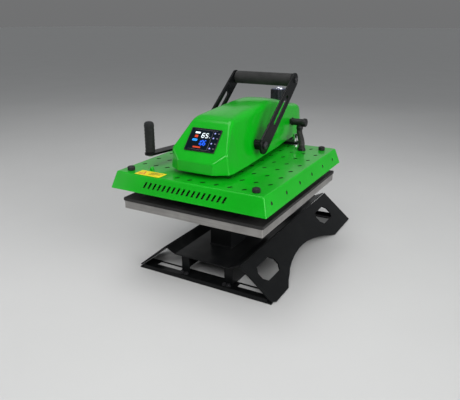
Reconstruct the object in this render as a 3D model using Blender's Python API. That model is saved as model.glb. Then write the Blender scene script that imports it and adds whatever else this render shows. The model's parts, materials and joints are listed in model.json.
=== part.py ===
"""Swing-away heat press: a folded steel base, a padded lower platen, and a
covered head that carries the heating platen on an arm that swings on a post.

Lengths are in metres.  The design frame has the bench at z = 0, x = y = 0
under the middle of the lower platen, +X to the operator's right and +Y
towards the back.  A root empty then shifts everything along Y, so that the
middle of the overall box stands over the world origin."""
import math

import bmesh
import bpy
from mathutils import Matrix, Vector

# ---- overall -------------------------------------------------------------
SHIFT_Y = -0.0829           # design frame to world
GAP = 0.0003                # running gap between pieces that touch

# ---- base ----------------------------------------------------------------
BASE_FRONT = -0.197
BASE_BACK = 0.441
SHEET = 0.003
CHANNEL_HALF = 0.084
CHANNEL_TOP = 0.070
RIDGE_X = 0.112
RIDGE_Z = 0.084
PANEL_TOP_X = 0.1165
PANEL_SLOPE = math.atan2(0.084, 0.100)
PANEL_LENGTH = 0.1255
PANEL_THICK = 0.004
CROSS_HALF = 0.2052
CROSS_THICK = 0.003
LIP_HEIGHT = 0.012
LIP_INSET = 0.012
WALL_X = 0.080
BASE_BOLT_X = (0.060, 0.073)
BASE_BOLT_Y = -0.181

# ---- lower platen --------------------------------------------------------
PLATEN_W = 0.400
PLATEN_D = 0.500
PLATEN_BOTTOM = 0.1988
PLATEN_TOP = 0.2194
PAD_THICK = 0.0083
PAD_OVERHANG = 0.002
SUPPORT_THICK = 0.009
PEDESTAL_HALF_W = 0.033
PEDESTAL_HALF_D = 0.095

# ---- post ----------------------------------------------------------------
POST_Y = 0.345
POST_R = 0.025
COLUMN_R = 0.038
HUB_R = 0.036
COLUMN_TOP = 0.250
HUB_BOTTOM = 0.275
HUB_TOP = 0.360

# ---- heating head --------------------------------------------------------
HEAD_Y = -0.0148
HEAD_BOTTOM = 0.2560
HEAD_TOP = 0.2780
COVER_TOP_Z = 0.3027
COVER_BOTTOM_Z = 0.2594
COVER_TOP_W = 0.4137
COVER_TOP_D = 0.4952
COVER_BOTTOM_W = 0.4392
COVER_BOTTOM_D = 0.5207
COVER_SHEET = 0.002
SLOT_PITCH_X = 0.0367
SLOT_PITCH_Y = 0.0609
SLOT_LENGTH = 0.012
SLOT_WIDTH = 0.004
SLOT_TURN = math.radians(60.0)
VENT_COUNT = 17
VENT_PITCH = 0.0140
KNOB_X = 0.1775
KNOB_FRONT_Y = -0.2400
KNOB_BACK_Y = 0.1930

# ---- arm, hood, lever ----------------------------------------------------
ARM_BOTTOM = 0.315
BEAM_HALF = 0.038
LEVER_Y = -0.030
LEVER_Z = 0.355
LEVER_PLATE_IN = 0.092
LEVER_PLATE_OUT = 0.098
GRIP_Y = 0.162
GRIP_Z = 0.503
GRIP_R = 0.0185
SHAFT_R = 0.011
CAM_R = 0.0365
CAM_THROW = 0.01617
ROD_X = 0.083
ROD_Y = 0.215
ADJUST_Y = 0.275
KNOB_TOP = 0.4604
HANDLE_X = -0.153
HANDLE_Y = -0.190
HANDLE_Z = 0.341

# Hood stations from front to back: y, half width at the hem, half width at
# the shoulder, shoulder height, crown above the shoulder, shoulder radius.
HOOD_STATIONS = (
    (-0.2170, 0.0500, 0.0500, 0.3420, 0.0000, 0.0025),
    (-0.1950, 0.0830, 0.0800, 0.3657, 0.0000, 0.0040),
    (-0.1760, 0.0865, 0.0715, 0.3862, 0.0000, 0.0060),
    (-0.1430, 0.0850, 0.0590, 0.4217, 0.0000, 0.0080),
    (-0.1250, 0.0845, 0.0570, 0.4330, 0.0005, 0.0120),
    (-0.1000, 0.0835, 0.0565, 0.4375, 0.0020, 0.0160),
    (-0.0200, 0.0775, 0.0560, 0.4430, 0.0050, 0.0180),
    (0.0600, 0.0715, 0.0555, 0.4480, 0.0055, 0.0180),
    (0.1240, 0.0665, 0.0540, 0.4495, 0.0040, 0.0180),
    (0.1900, 0.0600, 0.0510, 0.4390, 0.0020, 0.0180),
    (0.2400, 0.0555, 0.0480, 0.4240, 0.0010, 0.0180),
    (0.2900, 0.0515, 0.0440, 0.4155, 0.0010, 0.0180),
    (0.3300, 0.0485, 0.0410, 0.4105, 0.0010, 0.0180),
    (0.3600, 0.0440, 0.0360, 0.4005, 0.0010, 0.0140),
    (0.3780, 0.0340, 0.0270, 0.3855, 0.0010, 0.0110),
    (0.3880, 0.0210, 0.0150, 0.3640, 0.0005, 0.0070),
    (0.3920, 0.0100, 0.0070, 0.3520, 0.0000, 0.0030),
)
HOOD_SHEET = 0.002


# ---- small tools ---------------------------------------------------------
def clear_scene():
    for item in list(bpy.data.objects):
        bpy.data.objects.remove(item, do_unlink=True)


def make_material(name, colour, metallic=0.0, roughness=0.5):
    mat = bpy.data.materials.new(name)
    mat.use_nodes = True
    shader = mat.node_tree.nodes["Principled BSDF"]
    shader.inputs["Base Color"].default_value = (*colour, 1.0)
    shader.inputs["Metallic"].default_value = metallic
    shader.inputs["Roughness"].default_value = roughness
    mat.diffuse_color = (*colour, 1.0)
    return mat


def add_object(name, verts, faces, look, pivot=(0.0, 0.0, 0.0)):
    """A mesh object in the design frame, its origin moved to pivot."""
    mesh = bpy.data.meshes.new(name)
    shift = Vector(pivot)
    mesh.from_pydata([Vector(v) - shift for v in verts], [], faces)
    bm = bmesh.new()
    bm.from_mesh(mesh)
    bmesh.ops.recalc_face_normals(bm, faces=bm.faces)
    bm.to_mesh(mesh)
    bm.free()
    obj = bpy.data.objects.new(name, mesh)
    bpy.context.scene.collection.objects.link(obj)
    obj.location = shift
    obj.parent = ROOT
    colour, metallic, roughness = look
    mesh.materials.append(make_material(name, colour, metallic, roughness))
    return obj


def prism(name, outline, direction, low, high, look, pivot=(0.0, 0.0, 0.0)):
    """Extrude a closed outline.  direction is the extruded axis; the outline
    gives the other two coordinates in X, Y, Z order."""
    place = {"x": lambda a, b, t: (t, a, b),
             "y": lambda a, b, t: (a, t, b),
             "z": lambda a, b, t: (a, b, t)}[direction]
    count = len(outline)
    verts = [place(a, b, low) for a, b in outline]
    verts += [place(a, b, high) for a, b in outline]
    faces = [list(range(count)), list(range(count, 2 * count))]
    for i in range(count):
        j = (i + 1) % count
        faces.append([i, j, count + j, count + i])
    return add_object(name, verts, faces, look, pivot)


def box(name, x, y, z, look, pivot=(0.0, 0.0, 0.0)):
    outline = [(x[0], y[0]), (x[1], y[0]), (x[1], y[1]), (x[0], y[1])]
    return prism(name, outline, "z", z[0], z[1], look, pivot)


def circle(cx, cy, radius, count):
    step = 2.0 * math.pi / count
    return [(cx + radius * math.cos(i * step), cy + radius * math.sin(i * step))
            for i in range(count)]


def lathe(name, profile, centre, direction, look, segments=32, pivot=(0.0, 0.0, 0.0)):
    """Turn a profile of (radius, distance along the axis) about an axis.  A
    profile that starts and ends at radius 0 is capped; otherwise it closes
    on itself and leaves a bore."""
    turn = {"x": Matrix.Rotation(math.pi / 2, 3, "Y"),
            "y": Matrix.Rotation(-math.pi / 2, 3, "X"),
            "z": Matrix.Identity(3)}[direction]
    base = Vector(centre)
    verts = []
    rings = []
    for radius, height in profile:
        if radius == 0.0:
            rings.append([len(verts)])
            verts.append(base + turn @ Vector((0.0, 0.0, height)))
            continue
        rings.append(list(range(len(verts), len(verts) + segments)))
        for a, b in circle(0.0, 0.0, radius, segments):
            verts.append(base + turn @ Vector((a, b, height)))
    solid = profile[0][0] == 0.0
    pairs = list(zip(rings, rings[1:]))
    if not solid:
        pairs.append((rings[-1], rings[0]))
    faces = []
    for one, two in pairs:
        for i in range(segments):
            j = (i + 1) % segments
            corner = [one[i % len(one)], one[j % len(one)],
                      two[j % len(two)], two[i % len(two)]]
            faces.append(list(dict.fromkeys(corner)))
    obj = add_object(name, verts, faces, look, pivot)
    shade_smooth(obj)
    return obj


def rod(name, radius, low, high, centre, direction, look, segments=32,
        edge=0.001, pivot=(0.0, 0.0, 0.0)):
    profile = [(0.0, low), (radius - edge, low), (radius, low + edge),
               (radius, high - edge), (radius - edge, high), (0.0, high)]
    return lathe(name, profile, centre, direction, look, segments, pivot)


def ring(name, outer, inner, low, high, centre, direction, look, segments=32,
         edge=0.001, pivot=(0.0, 0.0, 0.0)):
    profile = [(inner, low), (outer - edge, low), (outer, low + edge),
               (outer, high - edge), (outer - edge, high), (inner, high)]
    return lathe(name, profile, centre, direction, look, segments, pivot)


def shade_smooth(obj, degrees=35.0):
    for face in obj.data.polygons:
        face.use_smooth = True
    bm = bmesh.new()
    bm.from_mesh(obj.data)
    limit = math.radians(degrees)
    for edge in bm.edges:
        if len(edge.link_faces) == 2:
            edge.smooth = edge.calc_face_angle(0.0) < limit
    bm.to_mesh(obj.data)
    bm.free()


def combine(obj, tool, operation):
    """Boolean obj with tool, and hide tool."""
    tool.hide_render = True
    tool.hide_viewport = False
    tool.display_type = "WIRE"
    step = obj.modifiers.new(tool.name, "BOOLEAN")
    step.operation = operation
    step.solver = "EXACT"
    step.object = tool
    return obj


def cut(obj, tool):
    return combine(obj, tool, "DIFFERENCE")


def join(obj, tool):
    return combine(obj, tool, "UNION")


def bevel(obj, width, segments=1):
    step = obj.modifiers.new("edges", "BEVEL")
    step.width = width
    step.segments = segments
    step.limit_method = "ANGLE"
    step.angle_limit = math.radians(50.0)
    return obj


def merge_prisms(name, outlines, direction, low, high):
    """One cutter made of many separate prisms."""
    place = {"x": lambda a, b, t: (t, a, b),
             "y": lambda a, b, t: (a, t, b),
             "z": lambda a, b, t: (a, b, t)}[direction]
    verts = []
    faces = []
    for outline in outlines:
        start = len(verts)
        count = len(outline)
        verts += [place(a, b, low) for a, b in outline]
        verts += [place(a, b, high) for a, b in outline]
        faces.append([start + i for i in range(count)])
        faces.append([start + count + i for i in range(count)])
        for i in range(count):
            j = (i + 1) % count
            faces.append([start + i, start + j, start + count + j, start + count + i])
    return add_object(name, verts, faces, TOOL)


def rectangle(cx, cy, width, depth):
    return [(cx - width / 2, cy - depth / 2), (cx + width / 2, cy - depth / 2),
            (cx + width / 2, cy + depth / 2), (cx - width / 2, cy + depth / 2)]


def slot_outline(start, end, radius, count=8):
    """A long hole with round ends between two centres."""
    ax, ay = start
    bx, by = end
    heading = math.atan2(by - ay, bx - ax)
    points = []
    for i in range(count + 1):
        angle = heading - math.pi / 2 + math.pi * i / count
        points.append((bx + radius * math.cos(angle), by + radius * math.sin(angle)))
    for i in range(count + 1):
        angle = heading + math.pi / 2 + math.pi * i / count
        points.append((ax + radius * math.cos(angle), ay + radius * math.sin(angle)))
    return points


def sheet_section(points, thickness):
    """Closed outline of a folded sheet, its upper face along points."""
    lower = []
    for i, (x, z) in enumerate(points):
        normals = []
        for a, b in ((i - 1, i), (i, i + 1)):
            if a < 0 or b >= len(points):
                continue
            dx = points[b][0] - points[a][0]
            dz = points[b][1] - points[a][1]
            size = math.hypot(dx, dz)
            normals.append((dz / size, -dx / size))
        nx = sum(n[0] for n in normals) / len(normals)
        nz = sum(n[1] for n in normals) / len(normals)
        scale = thickness / (nx * nx + nz * nz)
        lower.append((x + nx * scale, z + nz * scale))
    return list(points) + lower[::-1]


# ---- looks: colour, metallic, roughness ----------------------------------
BLACK = ((0.020, 0.021, 0.023), 0.2, 0.45)
GREEN = ((0.004, 0.430, 0.020), 0.0, 0.35)
ALUMINIUM = ((0.620, 0.610, 0.590), 0.9, 0.40)
STEEL = ((0.550, 0.560, 0.580), 1.0, 0.22)
CHROME = ((0.780, 0.790, 0.810), 1.0, 0.10)
RUBBER = ((0.022, 0.022, 0.023), 0.0, 0.80)
SILICONE = ((0.060, 0.055, 0.052), 0.0, 0.75)
BOARD = ((0.620, 0.560, 0.440), 0.0, 0.90)
PLASTIC = ((0.012, 0.013, 0.014), 0.0, 0.40)
GLASS = ((0.010, 0.020, 0.030), 0.0, 0.08)
YELLOW = ((0.780, 0.660, 0.010), 0.0, 0.50)
TOOL = ((0.8, 0.2, 0.2), 0.0, 0.5)


# ---- base ----------------------------------------------------------------
def build_top_sheet():
    fold = [(-RIDGE_X, RIDGE_Z), (-CHANNEL_HALF, CHANNEL_TOP),
            (CHANNEL_HALF, CHANNEL_TOP), (RIDGE_X, RIDGE_Z)]
    outline = sheet_section(fold, SHEET)
    prism("base_top_sheet", outline, "y", BASE_FRONT, BASE_BACK, BLACK)


def panel_point(side, y, down, depth):
    """A point of a sloping side panel: down runs from the ridge to the foot,
    depth below the outer face."""
    c = math.cos(PANEL_SLOPE)
    s = math.sin(PANEL_SLOPE)
    x = PANEL_TOP_X + down * c - depth * s
    z = RIDGE_Z - down * s - depth * c
    return (side * x, y, z)


def panel_prism(name, outline, low, high, side, look):
    count = len(outline)
    verts = [panel_point(side, y, s, low) for y, s in outline]
    verts += [panel_point(side, y, s, high) for y, s in outline]
    faces = [list(range(count)), list(range(count, 2 * count))]
    for i in range(count):
        j = (i + 1) % count
        faces.append([i, j, count + j, count + i])
    return add_object(name, verts, faces, look)


def window_outline(y0, y1, s0, s1, clip):
    return [(y0 + clip, s0), (y1 - clip, s0), (y1, s0 + clip), (y1, s1 - clip),
            (y1 - clip, s1), (y0 + clip, s1), (y0, s1 - clip), (y0, s0 + clip)]


def build_side_panel(name, side):
    foot = PANEL_LENGTH
    outline = [(BASE_FRONT - 0.002, 0.0), (BASE_FRONT - 0.002, foot - 0.012),
               (-0.183, foot), (-0.106, foot), (-0.083, 0.112), (-0.060, 0.103)]
    arch = ((-0.040, 0.0935), (-0.012, 0.0850), (0.022, 0.0780), (0.060, 0.0738),
            (0.095, 0.0730), (0.128, 0.0755), (0.160, 0.0815), (0.195, 0.0910),
            (0.232, 0.1040), (0.262, 0.1165))
    outline += list(arch)
    outline += [(0.286, foot), (BASE_BACK, foot), (BASE_BACK, 0.0)]
    panel = panel_prism(name, outline, 0.0, PANEL_THICK, side, BLACK)
    for tag, y0, y1 in (("front", -0.163, -0.067), ("back", 0.270, 0.368)):
        window = window_outline(y0, y1, 0.030, 0.0755, 0.014)
        tool = panel_prism("tool_%s_%s" % (name, tag), window, -0.01, 0.02, side, TOOL)
        cut(panel, tool)
    return panel


def build_inner_wall(name, side):
    """A folded leg: a long upright, a front flange and a foot to bolt down."""
    x_in = 0.055
    low = CROSS_THICK + GAP
    high = CHANNEL_TOP - SHEET - GAP
    front = -0.172
    plan = [(side * x_in, front), (side * WALL_X, front), (side * WALL_X, 0.410),
            (side * (WALL_X - SHEET), 0.410), (side * (WALL_X - SHEET), front + SHEET),
            (side * x_in, front + SHEET)]
    wall = prism(name, plan, "z", low, high, BLACK)
    lo, hi = sorted((side * x_in, side * WALL_X))
    foot = box("tool_%s_foot" % name, (lo, hi), (-0.190, front + 0.002),
               (low, low + SHEET), TOOL)
    return join(wall, foot)


def build_cross_plates():
    front = BASE_FRONT - 0.003
    plate = box("base_cross_plate_front", (-CROSS_HALF, CROSS_HALF), (front, -0.143),
                (0.0, CROSS_THICK), BLACK)
    lip = box("tool_front_lip", (LIP_INSET - CROSS_HALF, CROSS_HALF - LIP_INSET),
              (front, front + SHEET), (0.0, LIP_HEIGHT), TOOL)
    join(plate, lip)
    windows = [rectangle(side * 0.130, -0.1565, 0.080, 0.019) for side in (-1, 1)]
    cut(plate, merge_prisms("tool_front_windows", windows, "z", -0.01, 0.01))
    back = box("base_cross_plate_back", (-CROSS_HALF, CROSS_HALF), (0.4135, BASE_BACK),
               (0.0, CROSS_THICK), BLACK)
    lip = box("tool_back_lip", (LIP_INSET - CROSS_HALF, CROSS_HALF - LIP_INSET),
              (BASE_BACK - SHEET, BASE_BACK), (0.0, LIP_HEIGHT), TOOL)
    join(back, lip)


def build_base_bolts():
    low = CROSS_THICK + SHEET + 2 * GAP
    number = 1
    for side in (-1, 1):
        for x in BASE_BOLT_X:
            profile = [(0.0, 0.0), (0.0065, 0.0), (0.0065, 0.0035), (0.0045, 0.0050), (0.0, 0.0050)]
            lathe("base_bolt_%d" % number, profile, (side * x, BASE_BOLT_Y, low), "z", STEEL, 16)
            number += 1


def build_base():
    build_top_sheet()
    build_side_panel("base_side_panel_left", -1)
    build_side_panel("base_side_panel_right", 1)
    build_inner_wall("base_inner_wall_left", -1)
    build_inner_wall("base_inner_wall_right", 1)
    build_cross_plates()
    build_base_bolts()


# ---- lower platen --------------------------------------------------------
def build_lower_platen():
    top = PLATEN_BOTTOM - SUPPORT_THICK - 2 * GAP
    tube = box("pedestal", (-PEDESTAL_HALF_W, PEDESTAL_HALF_W), (-PEDESTAL_HALF_D, PEDESTAL_HALF_D),
               (CHANNEL_TOP + GAP, top), BLACK)
    wall = 0.005
    inner = box("tool_pedestal", (wall - PEDESTAL_HALF_W, PEDESTAL_HALF_W - wall),
                (wall - PEDESTAL_HALF_D, PEDESTAL_HALF_D - wall), (0.05, 0.25), TOOL)
    cut(tube, inner)
    plan = [(-0.170, -0.200), (0.170, -0.200), (0.170, -0.150), (0.045, -0.150),
            (0.045, 0.150), (0.170, 0.150), (0.170, 0.200), (-0.170, 0.200),
            (-0.170, 0.150), (-0.045, 0.150), (-0.045, -0.150), (-0.170, -0.150)]
    prism("platen_support_frame", plan, "z", top + GAP, PLATEN_BOTTOM - GAP, BLACK)
    platen = box("lower_platen", (-PLATEN_W / 2, PLATEN_W / 2), (-PLATEN_D / 2, PLATEN_D / 2),
                 (PLATEN_BOTTOM, PLATEN_TOP), ALUMINIUM)
    bevel(platen, 0.0015)
    half_w = PLATEN_W / 2 + PAD_OVERHANG
    half_d = PLATEN_D / 2 + PAD_OVERHANG
    pad = box("silicone_pad", (-half_w, half_w), (-half_d, half_d),
              (PLATEN_TOP + GAP, PLATEN_TOP + GAP + PAD_THICK), SILICONE)
    bevel(pad, 0.0015)


# ---- post ----------------------------------------------------------------
def build_post():
    centre = (0.0, POST_Y, 0.0)
    low = CHANNEL_TOP + GAP
    half = 0.066
    flange = box("post_flange", (-half, half), (POST_Y - half, POST_Y + half),
                 (low, low + 0.008), BLACK)
    heads = [circle(sx * 0.052, POST_Y + sy * 0.052, 0.008, 6) for sx in (-1, 1) for sy in (-1, 1)]
    join(flange, merge_prisms("tool_flange_bolts", heads, "z", low + 0.004, low + 0.014))
    low = low + 0.008 + GAP
    ring("swing_column", COLUMN_R, POST_R + 0.0006, low, COLUMN_TOP, centre, "z", BLACK)
    rod("swing_post", POST_R, low, HUB_TOP - 0.002, centre, "z", CHROME)
    ring("thrust_collar", 0.032, POST_R + 0.0006, COLUMN_TOP + GAP, COLUMN_TOP + 0.012,
         centre, "z", STEEL)


# ---- swinging arm --------------------------------------------------------
def build_arm():
    centre = (0.0, POST_Y, 0.0)
    ring("arm_hub", HUB_R, POST_R + 0.0006, HUB_BOTTOM, HUB_TOP, centre, "z", BLACK,
         pivot=centre)
    outside = [(-0.100, ARM_BOTTOM), (-0.100, 0.404), (-0.086, 0.418), (0.130, 0.418),
               (0.190, 0.396), (POST_Y, 0.350), (POST_Y, ARM_BOTTOM)]
    beam = prism("arm_beam", outside, "x", -BEAM_HALF, BEAM_HALF, BLACK, pivot=centre)
    inside = [(-0.092, ARM_BOTTOM - 0.01), (-0.092, 0.402), (-0.084, 0.411), (0.127, 0.411),
              (0.186, 0.389), (0.262, 0.367), (0.262, ARM_BOTTOM - 0.01)]
    cut(beam, prism("tool_beam_pocket", inside, "x", -0.030, 0.030, TOOL))
    cut(beam, rod("tool_beam_hub", HUB_R + GAP, 0.30, 0.43, centre, "z", TOOL, edge=0.0002))
    cut(beam, rod("tool_beam_shaft", SHAFT_R + GAP, -0.06, 0.06, (0.0, LEVER_Y, LEVER_Z), "x",
                  TOOL, 24, edge=0.0002))
    cut(beam, rod("tool_beam_screw", 0.0066, 0.30, 0.43, (0.0, ADJUST_Y, 0.0), "z", TOOL, 16,
                  edge=0.0002))
    build_crossbar(centre)


def build_crossbar(centre):
    high = ARM_BOTTOM - GAP
    bar = box("guide_crossbar", (-0.097, 0.097), (ROD_Y - 0.012, ROD_Y + 0.012),
              (high - 0.008, high), BLACK, pivot=centre)
    holes = [circle(side * ROD_X, ROD_Y, 0.0063, 20) for side in (-1, 1)]
    cut(bar, merge_prisms("tool_crossbar_holes", holes, "z", 0.29, 0.33))


def hood_section(station):
    """Right half of a hood section from the hem up and over to the middle."""
    y, hem, shoulder, height, crown, radius = station
    lean = (hem - shoulder) / (height - ARM_BOTTOM)
    points = [(hem, ARM_BOTTOM)]
    down = height - radius
    points.append((shoulder + lean * radius, down))
    across = shoulder - radius
    top = height + crown * (1.0 - (across / shoulder) ** 2)
    for i in (1, 2, 3):
        t = i / 4.0
        a = (1.0 - t) ** 2
        b = 2.0 * t * (1.0 - t)
        c = t ** 2
        points.append((a * (shoulder + lean * radius) + b * shoulder + c * across,
                       a * down + b * height + c * top))
    points.append((across, top))
    points.append((across / 2, height + crown * (1.0 - (across / shoulder / 2) ** 2)))
    return [(x, y, z) for x, z in points] + [(0.0, y, height + crown)]


def hood_surface():
    verts = []
    faces = []
    row = 0
    for station in HOOD_STATIONS:
        half = hood_section(station)
        full = half + [(-x, y, z) for x, y, z in half[-2::-1]]
        row = len(full)
        verts += full
    for i in range(len(HOOD_STATIONS) - 1):
        for j in range(row - 1):
            a = i * row + j
            faces.append([a, a + 1, a + row + 1, a + row])
    faces.append(list(range(row)))
    last = (len(HOOD_STATIONS) - 1) * row
    faces.append([last + j for j in range(row)])
    return verts, faces


def build_hood():
    centre = (0.0, POST_Y, 0.0)
    verts, faces = hood_surface()
    hood = add_object("arm_cover", verts, faces, GREEN, pivot=centre)
    shade_smooth(hood, 30.0)
    shell = hood.modifiers.new("sheet", "SOLIDIFY")
    shell.thickness = HOOD_SHEET
    shell.offset = -1.0
    shell.use_even_offset = True
    cut(hood, rod("tool_hood_shaft", 0.0135, -0.10, 0.10, (0.0, LEVER_Y, LEVER_Z), "x", TOOL,
                  24, edge=0.0002))
    cut(hood, rod("tool_hood_screw", 0.0075, 0.40, 0.46, (0.0, ADJUST_Y, 0.0), "z", TOOL, 20,
                  edge=0.0002))
    cut(hood, rod("tool_hood_fitting", 0.0085, 0.042, 0.080, (0.0, FITTING_Y, FITTING_Z), "x",
                  TOOL, 20, edge=0.0002))
    cut(hood, box("tool_hood_inlet", (-0.070, -0.040), (0.2285, 0.2815), (0.332, 0.358), TOOL))
    cut(hood, box("tool_hood_bar", (-0.080, -0.050), (0.0840, 0.1160), (0.3335, 0.3425), TOOL))
    return hood


# ---- display -------------------------------------------------------------
def slope_point(x, along, out):
    """A point on the hood's front slope: along runs up the slope from its
    lower edge, out is away from the sheet."""
    angle = math.atan2(0.4217 - 0.3420, 0.2170 - 0.1430)
    y = -0.2170 + along * math.cos(angle) - out * math.sin(angle)
    z = 0.3420 + along * math.sin(angle) + out * math.cos(angle)
    return (x, y, z)


def slope_block(name, half_w, low, high, out_low, out_high, look, clip=0.0):
    centre = (0.0, POST_Y, 0.0)
    plan = [(-half_w, low), (half_w, low), (half_w, high), (-half_w, high)]
    if clip:
        plan = [(-half_w + clip, low), (half_w - clip, low), (half_w, low + clip),
                (half_w, high - clip), (half_w - clip, high), (-half_w + clip, high),
                (-half_w, high - clip), (-half_w, low + clip)]
    count = len(plan)
    verts = [slope_point(x, s, out_low) for x, s in plan]
    verts += [slope_point(x, s, out_high) for x, s in plan]
    faces = [list(range(count)), list(range(count, 2 * count))]
    for i in range(count):
        j = (i + 1) % count
        faces.append([i, j, count + j, count + i])
    return add_object(name, verts, faces, look, pivot=centre)


def build_display():
    low = 0.0285
    high = low + 0.0650
    frame = slope_block("display_bezel", 0.0430, low, high, GAP, 0.0026, PLASTIC, 0.002)
    pocket = slope_block("tool_bezel_pocket", 0.0408, low + 0.0022, high - 0.0022, 0.0012,
                         0.006, TOOL)
    cut(frame, pocket)
    slope_block("display_glass", 0.0405, low + 0.0025, high - 0.0025, 0.0012 + GAP, 0.0030, GLASS)


# ---- lever ---------------------------------------------------------------
def lever_outline(steps=12):
    """Two round ends joined by tangents, in Y and Z."""
    r_low = 0.024
    r_high = 0.020
    dy = GRIP_Y - LEVER_Y
    dz = GRIP_Z - LEVER_Z
    span = math.hypot(dy, dz)
    heading = math.atan2(dz, dy)
    lean = math.asin((r_low - r_high) / span)
    open_low = math.pi / 2 - lean
    points = []
    for i in range(steps + 1):
        angle = heading + open_low + (2 * math.pi - 2 * open_low) * i / steps
        points.append((LEVER_Y + r_low * math.cos(angle), LEVER_Z + r_low * math.sin(angle)))
    for i in range(steps + 1):
        angle = heading - open_low + 2 * open_low * i / steps
        points.append((GRIP_Y + r_high * math.cos(angle), GRIP_Z + r_high * math.sin(angle)))
    return points


def along_lever(distance):
    heading = math.atan2(GRIP_Z - LEVER_Z, GRIP_Y - LEVER_Y)
    return (LEVER_Y + distance * math.cos(heading), LEVER_Z + distance * math.sin(heading))


def build_lever():
    axis = (0.0, LEVER_Y, LEVER_Z)
    bar = (0.0, GRIP_Y, GRIP_Z)
    rod("lever_shaft", SHAFT_R, GAP - LEVER_PLATE_IN, LEVER_PLATE_IN - GAP, axis, "x", STEEL,
        24, pivot=axis)
    for name, side in (("left", -1), ("right", 1)):
        low, high = sorted((side * LEVER_PLATE_IN, side * LEVER_PLATE_OUT))
        plate = prism("lever_arm_" + name, lever_outline(), "x", low, high, BLACK, pivot=axis)
        long_hole = slot_outline(along_lever(0.078), along_lever(0.172), 0.0075)
        cut(plate, merge_prisms("tool_lever_" + name, [long_hole], "x", low - 0.01, high + 0.01))
        face = side * (LEVER_PLATE_OUT + GAP)
        for tag, where, radius in (("pivot", axis, 0.0100), ("grip", bar, 0.0080)):
            profile = [(0.0, 0.0), (radius, 0.0), (radius, side * 0.0035),
                       (radius * 0.72, side * 0.0052), (0.0, side * 0.0055)]
            lathe("lever_%s_bolt_%s" % (tag, name), profile, (face, where[1], where[2]), "x",
                  CHROME, 20, pivot=axis)
    rod("lever_crossbar", 0.010, GAP - LEVER_PLATE_IN, LEVER_PLATE_IN - GAP, bar, "x", STEEL,
        20, pivot=axis)
    ring("lever_grip", GRIP_R, 0.0103, -0.0912, 0.0912, bar, "x", RUBBER, 28, 0.002, pivot=axis)
    build_cam(axis)


def build_cam(axis):
    angle = math.radians(120.0)
    cy = LEVER_Y + CAM_THROW * math.cos(angle)
    cz = LEVER_Z + CAM_THROW * math.sin(angle)
    cam = prism("lever_cam", circle(cy, cz, CAM_R, 36), "x", -0.012, 0.012, STEEL, pivot=axis)
    cut(cam, rod("tool_cam_bore", SHAFT_R + GAP, -0.02, 0.02, axis, "x", TOOL, 24, edge=0.0002))


# ---- heating head --------------------------------------------------------
def build_heating_platen():
    half_w = PLATEN_W / 2
    low_y = HEAD_Y - PLATEN_D / 2
    high_y = HEAD_Y + PLATEN_D / 2
    platen = box("heating_platen", (-half_w, half_w), (low_y, high_y), (HEAD_BOTTOM, HEAD_TOP),
                 ALUMINIUM)
    bevel(platen, 0.0015)
    board = box("insulation_board", (-half_w + 0.010, half_w - 0.010),
                (low_y + 0.010, high_y - 0.010), (HEAD_TOP + GAP, HEAD_TOP + 0.012), BOARD)
    holes = [rectangle(0.0, LEVER_Y, 0.050, 0.062)]
    for x in (-KNOB_X, KNOB_X):
        for y in (KNOB_FRONT_Y, KNOB_BACK_Y):
            holes.append(circle(x, y, 0.0045, 12))
    cut(board, merge_prisms("tool_board_holes", holes, "z", 0.26, 0.31))
    box("pressure_block", (-0.0245, 0.0245), (LEVER_Y - 0.030, LEVER_Y + 0.030),
        (HEAD_TOP + GAP, 0.331), STEEL)


def cover_corners(extra, z_low, z_high):
    """Eight corners of the cover's frustum, moved inwards by extra."""
    corners = []
    for z, w, d in ((z_low, COVER_BOTTOM_W, COVER_BOTTOM_D), (z_high, COVER_TOP_W, COVER_TOP_D)):
        for sx, sy in ((-1, -1), (1, -1), (1, 1), (-1, 1)):
            corners.append((sx * (w / 2 - extra), HEAD_Y + sy * (d / 2 - extra), z))
    return corners


def slot_places():
    """Centres of the vent slots in the cover's top: a plain grid that leaves
    room for the knobs, the label and the pressure block."""
    first_x = 0.1825
    first_y = -0.2375
    places = []
    for row in range(8):
        for column in range(11):
            x = first_x - column * SLOT_PITCH_X
            y = first_y + row * SLOT_PITCH_Y
            near_knob = abs(abs(x) - KNOB_X) < 0.02 and min(
                abs(y - KNOB_FRONT_Y), abs(y - KNOB_BACK_Y)) < 0.02
            near_label = -0.165 < x < -0.065 and y < -0.200
            near_block = abs(x) < 0.05 and abs(y - LEVER_Y) < 0.045
            near_rod = abs(abs(x) - ROD_X) < 0.02 and abs(y - ROD_Y) < 0.02
            near_gland = math.hypot(x - GLAND_X, y - GLAND_Y) < 0.02
            if not (near_knob or near_label or near_block or near_rod or near_gland):
                places.append((x, y))
    return places


def turned_slot(x, y):
    """A vent slot's outline, its length turned away from the X axis."""
    c = math.cos(SLOT_TURN)
    s = math.sin(SLOT_TURN)
    corners = rectangle(0.0, 0.0, SLOT_LENGTH, SLOT_WIDTH)
    return [(x + a * c - b * s, y + a * s + b * c) for a, b in corners]


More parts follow.
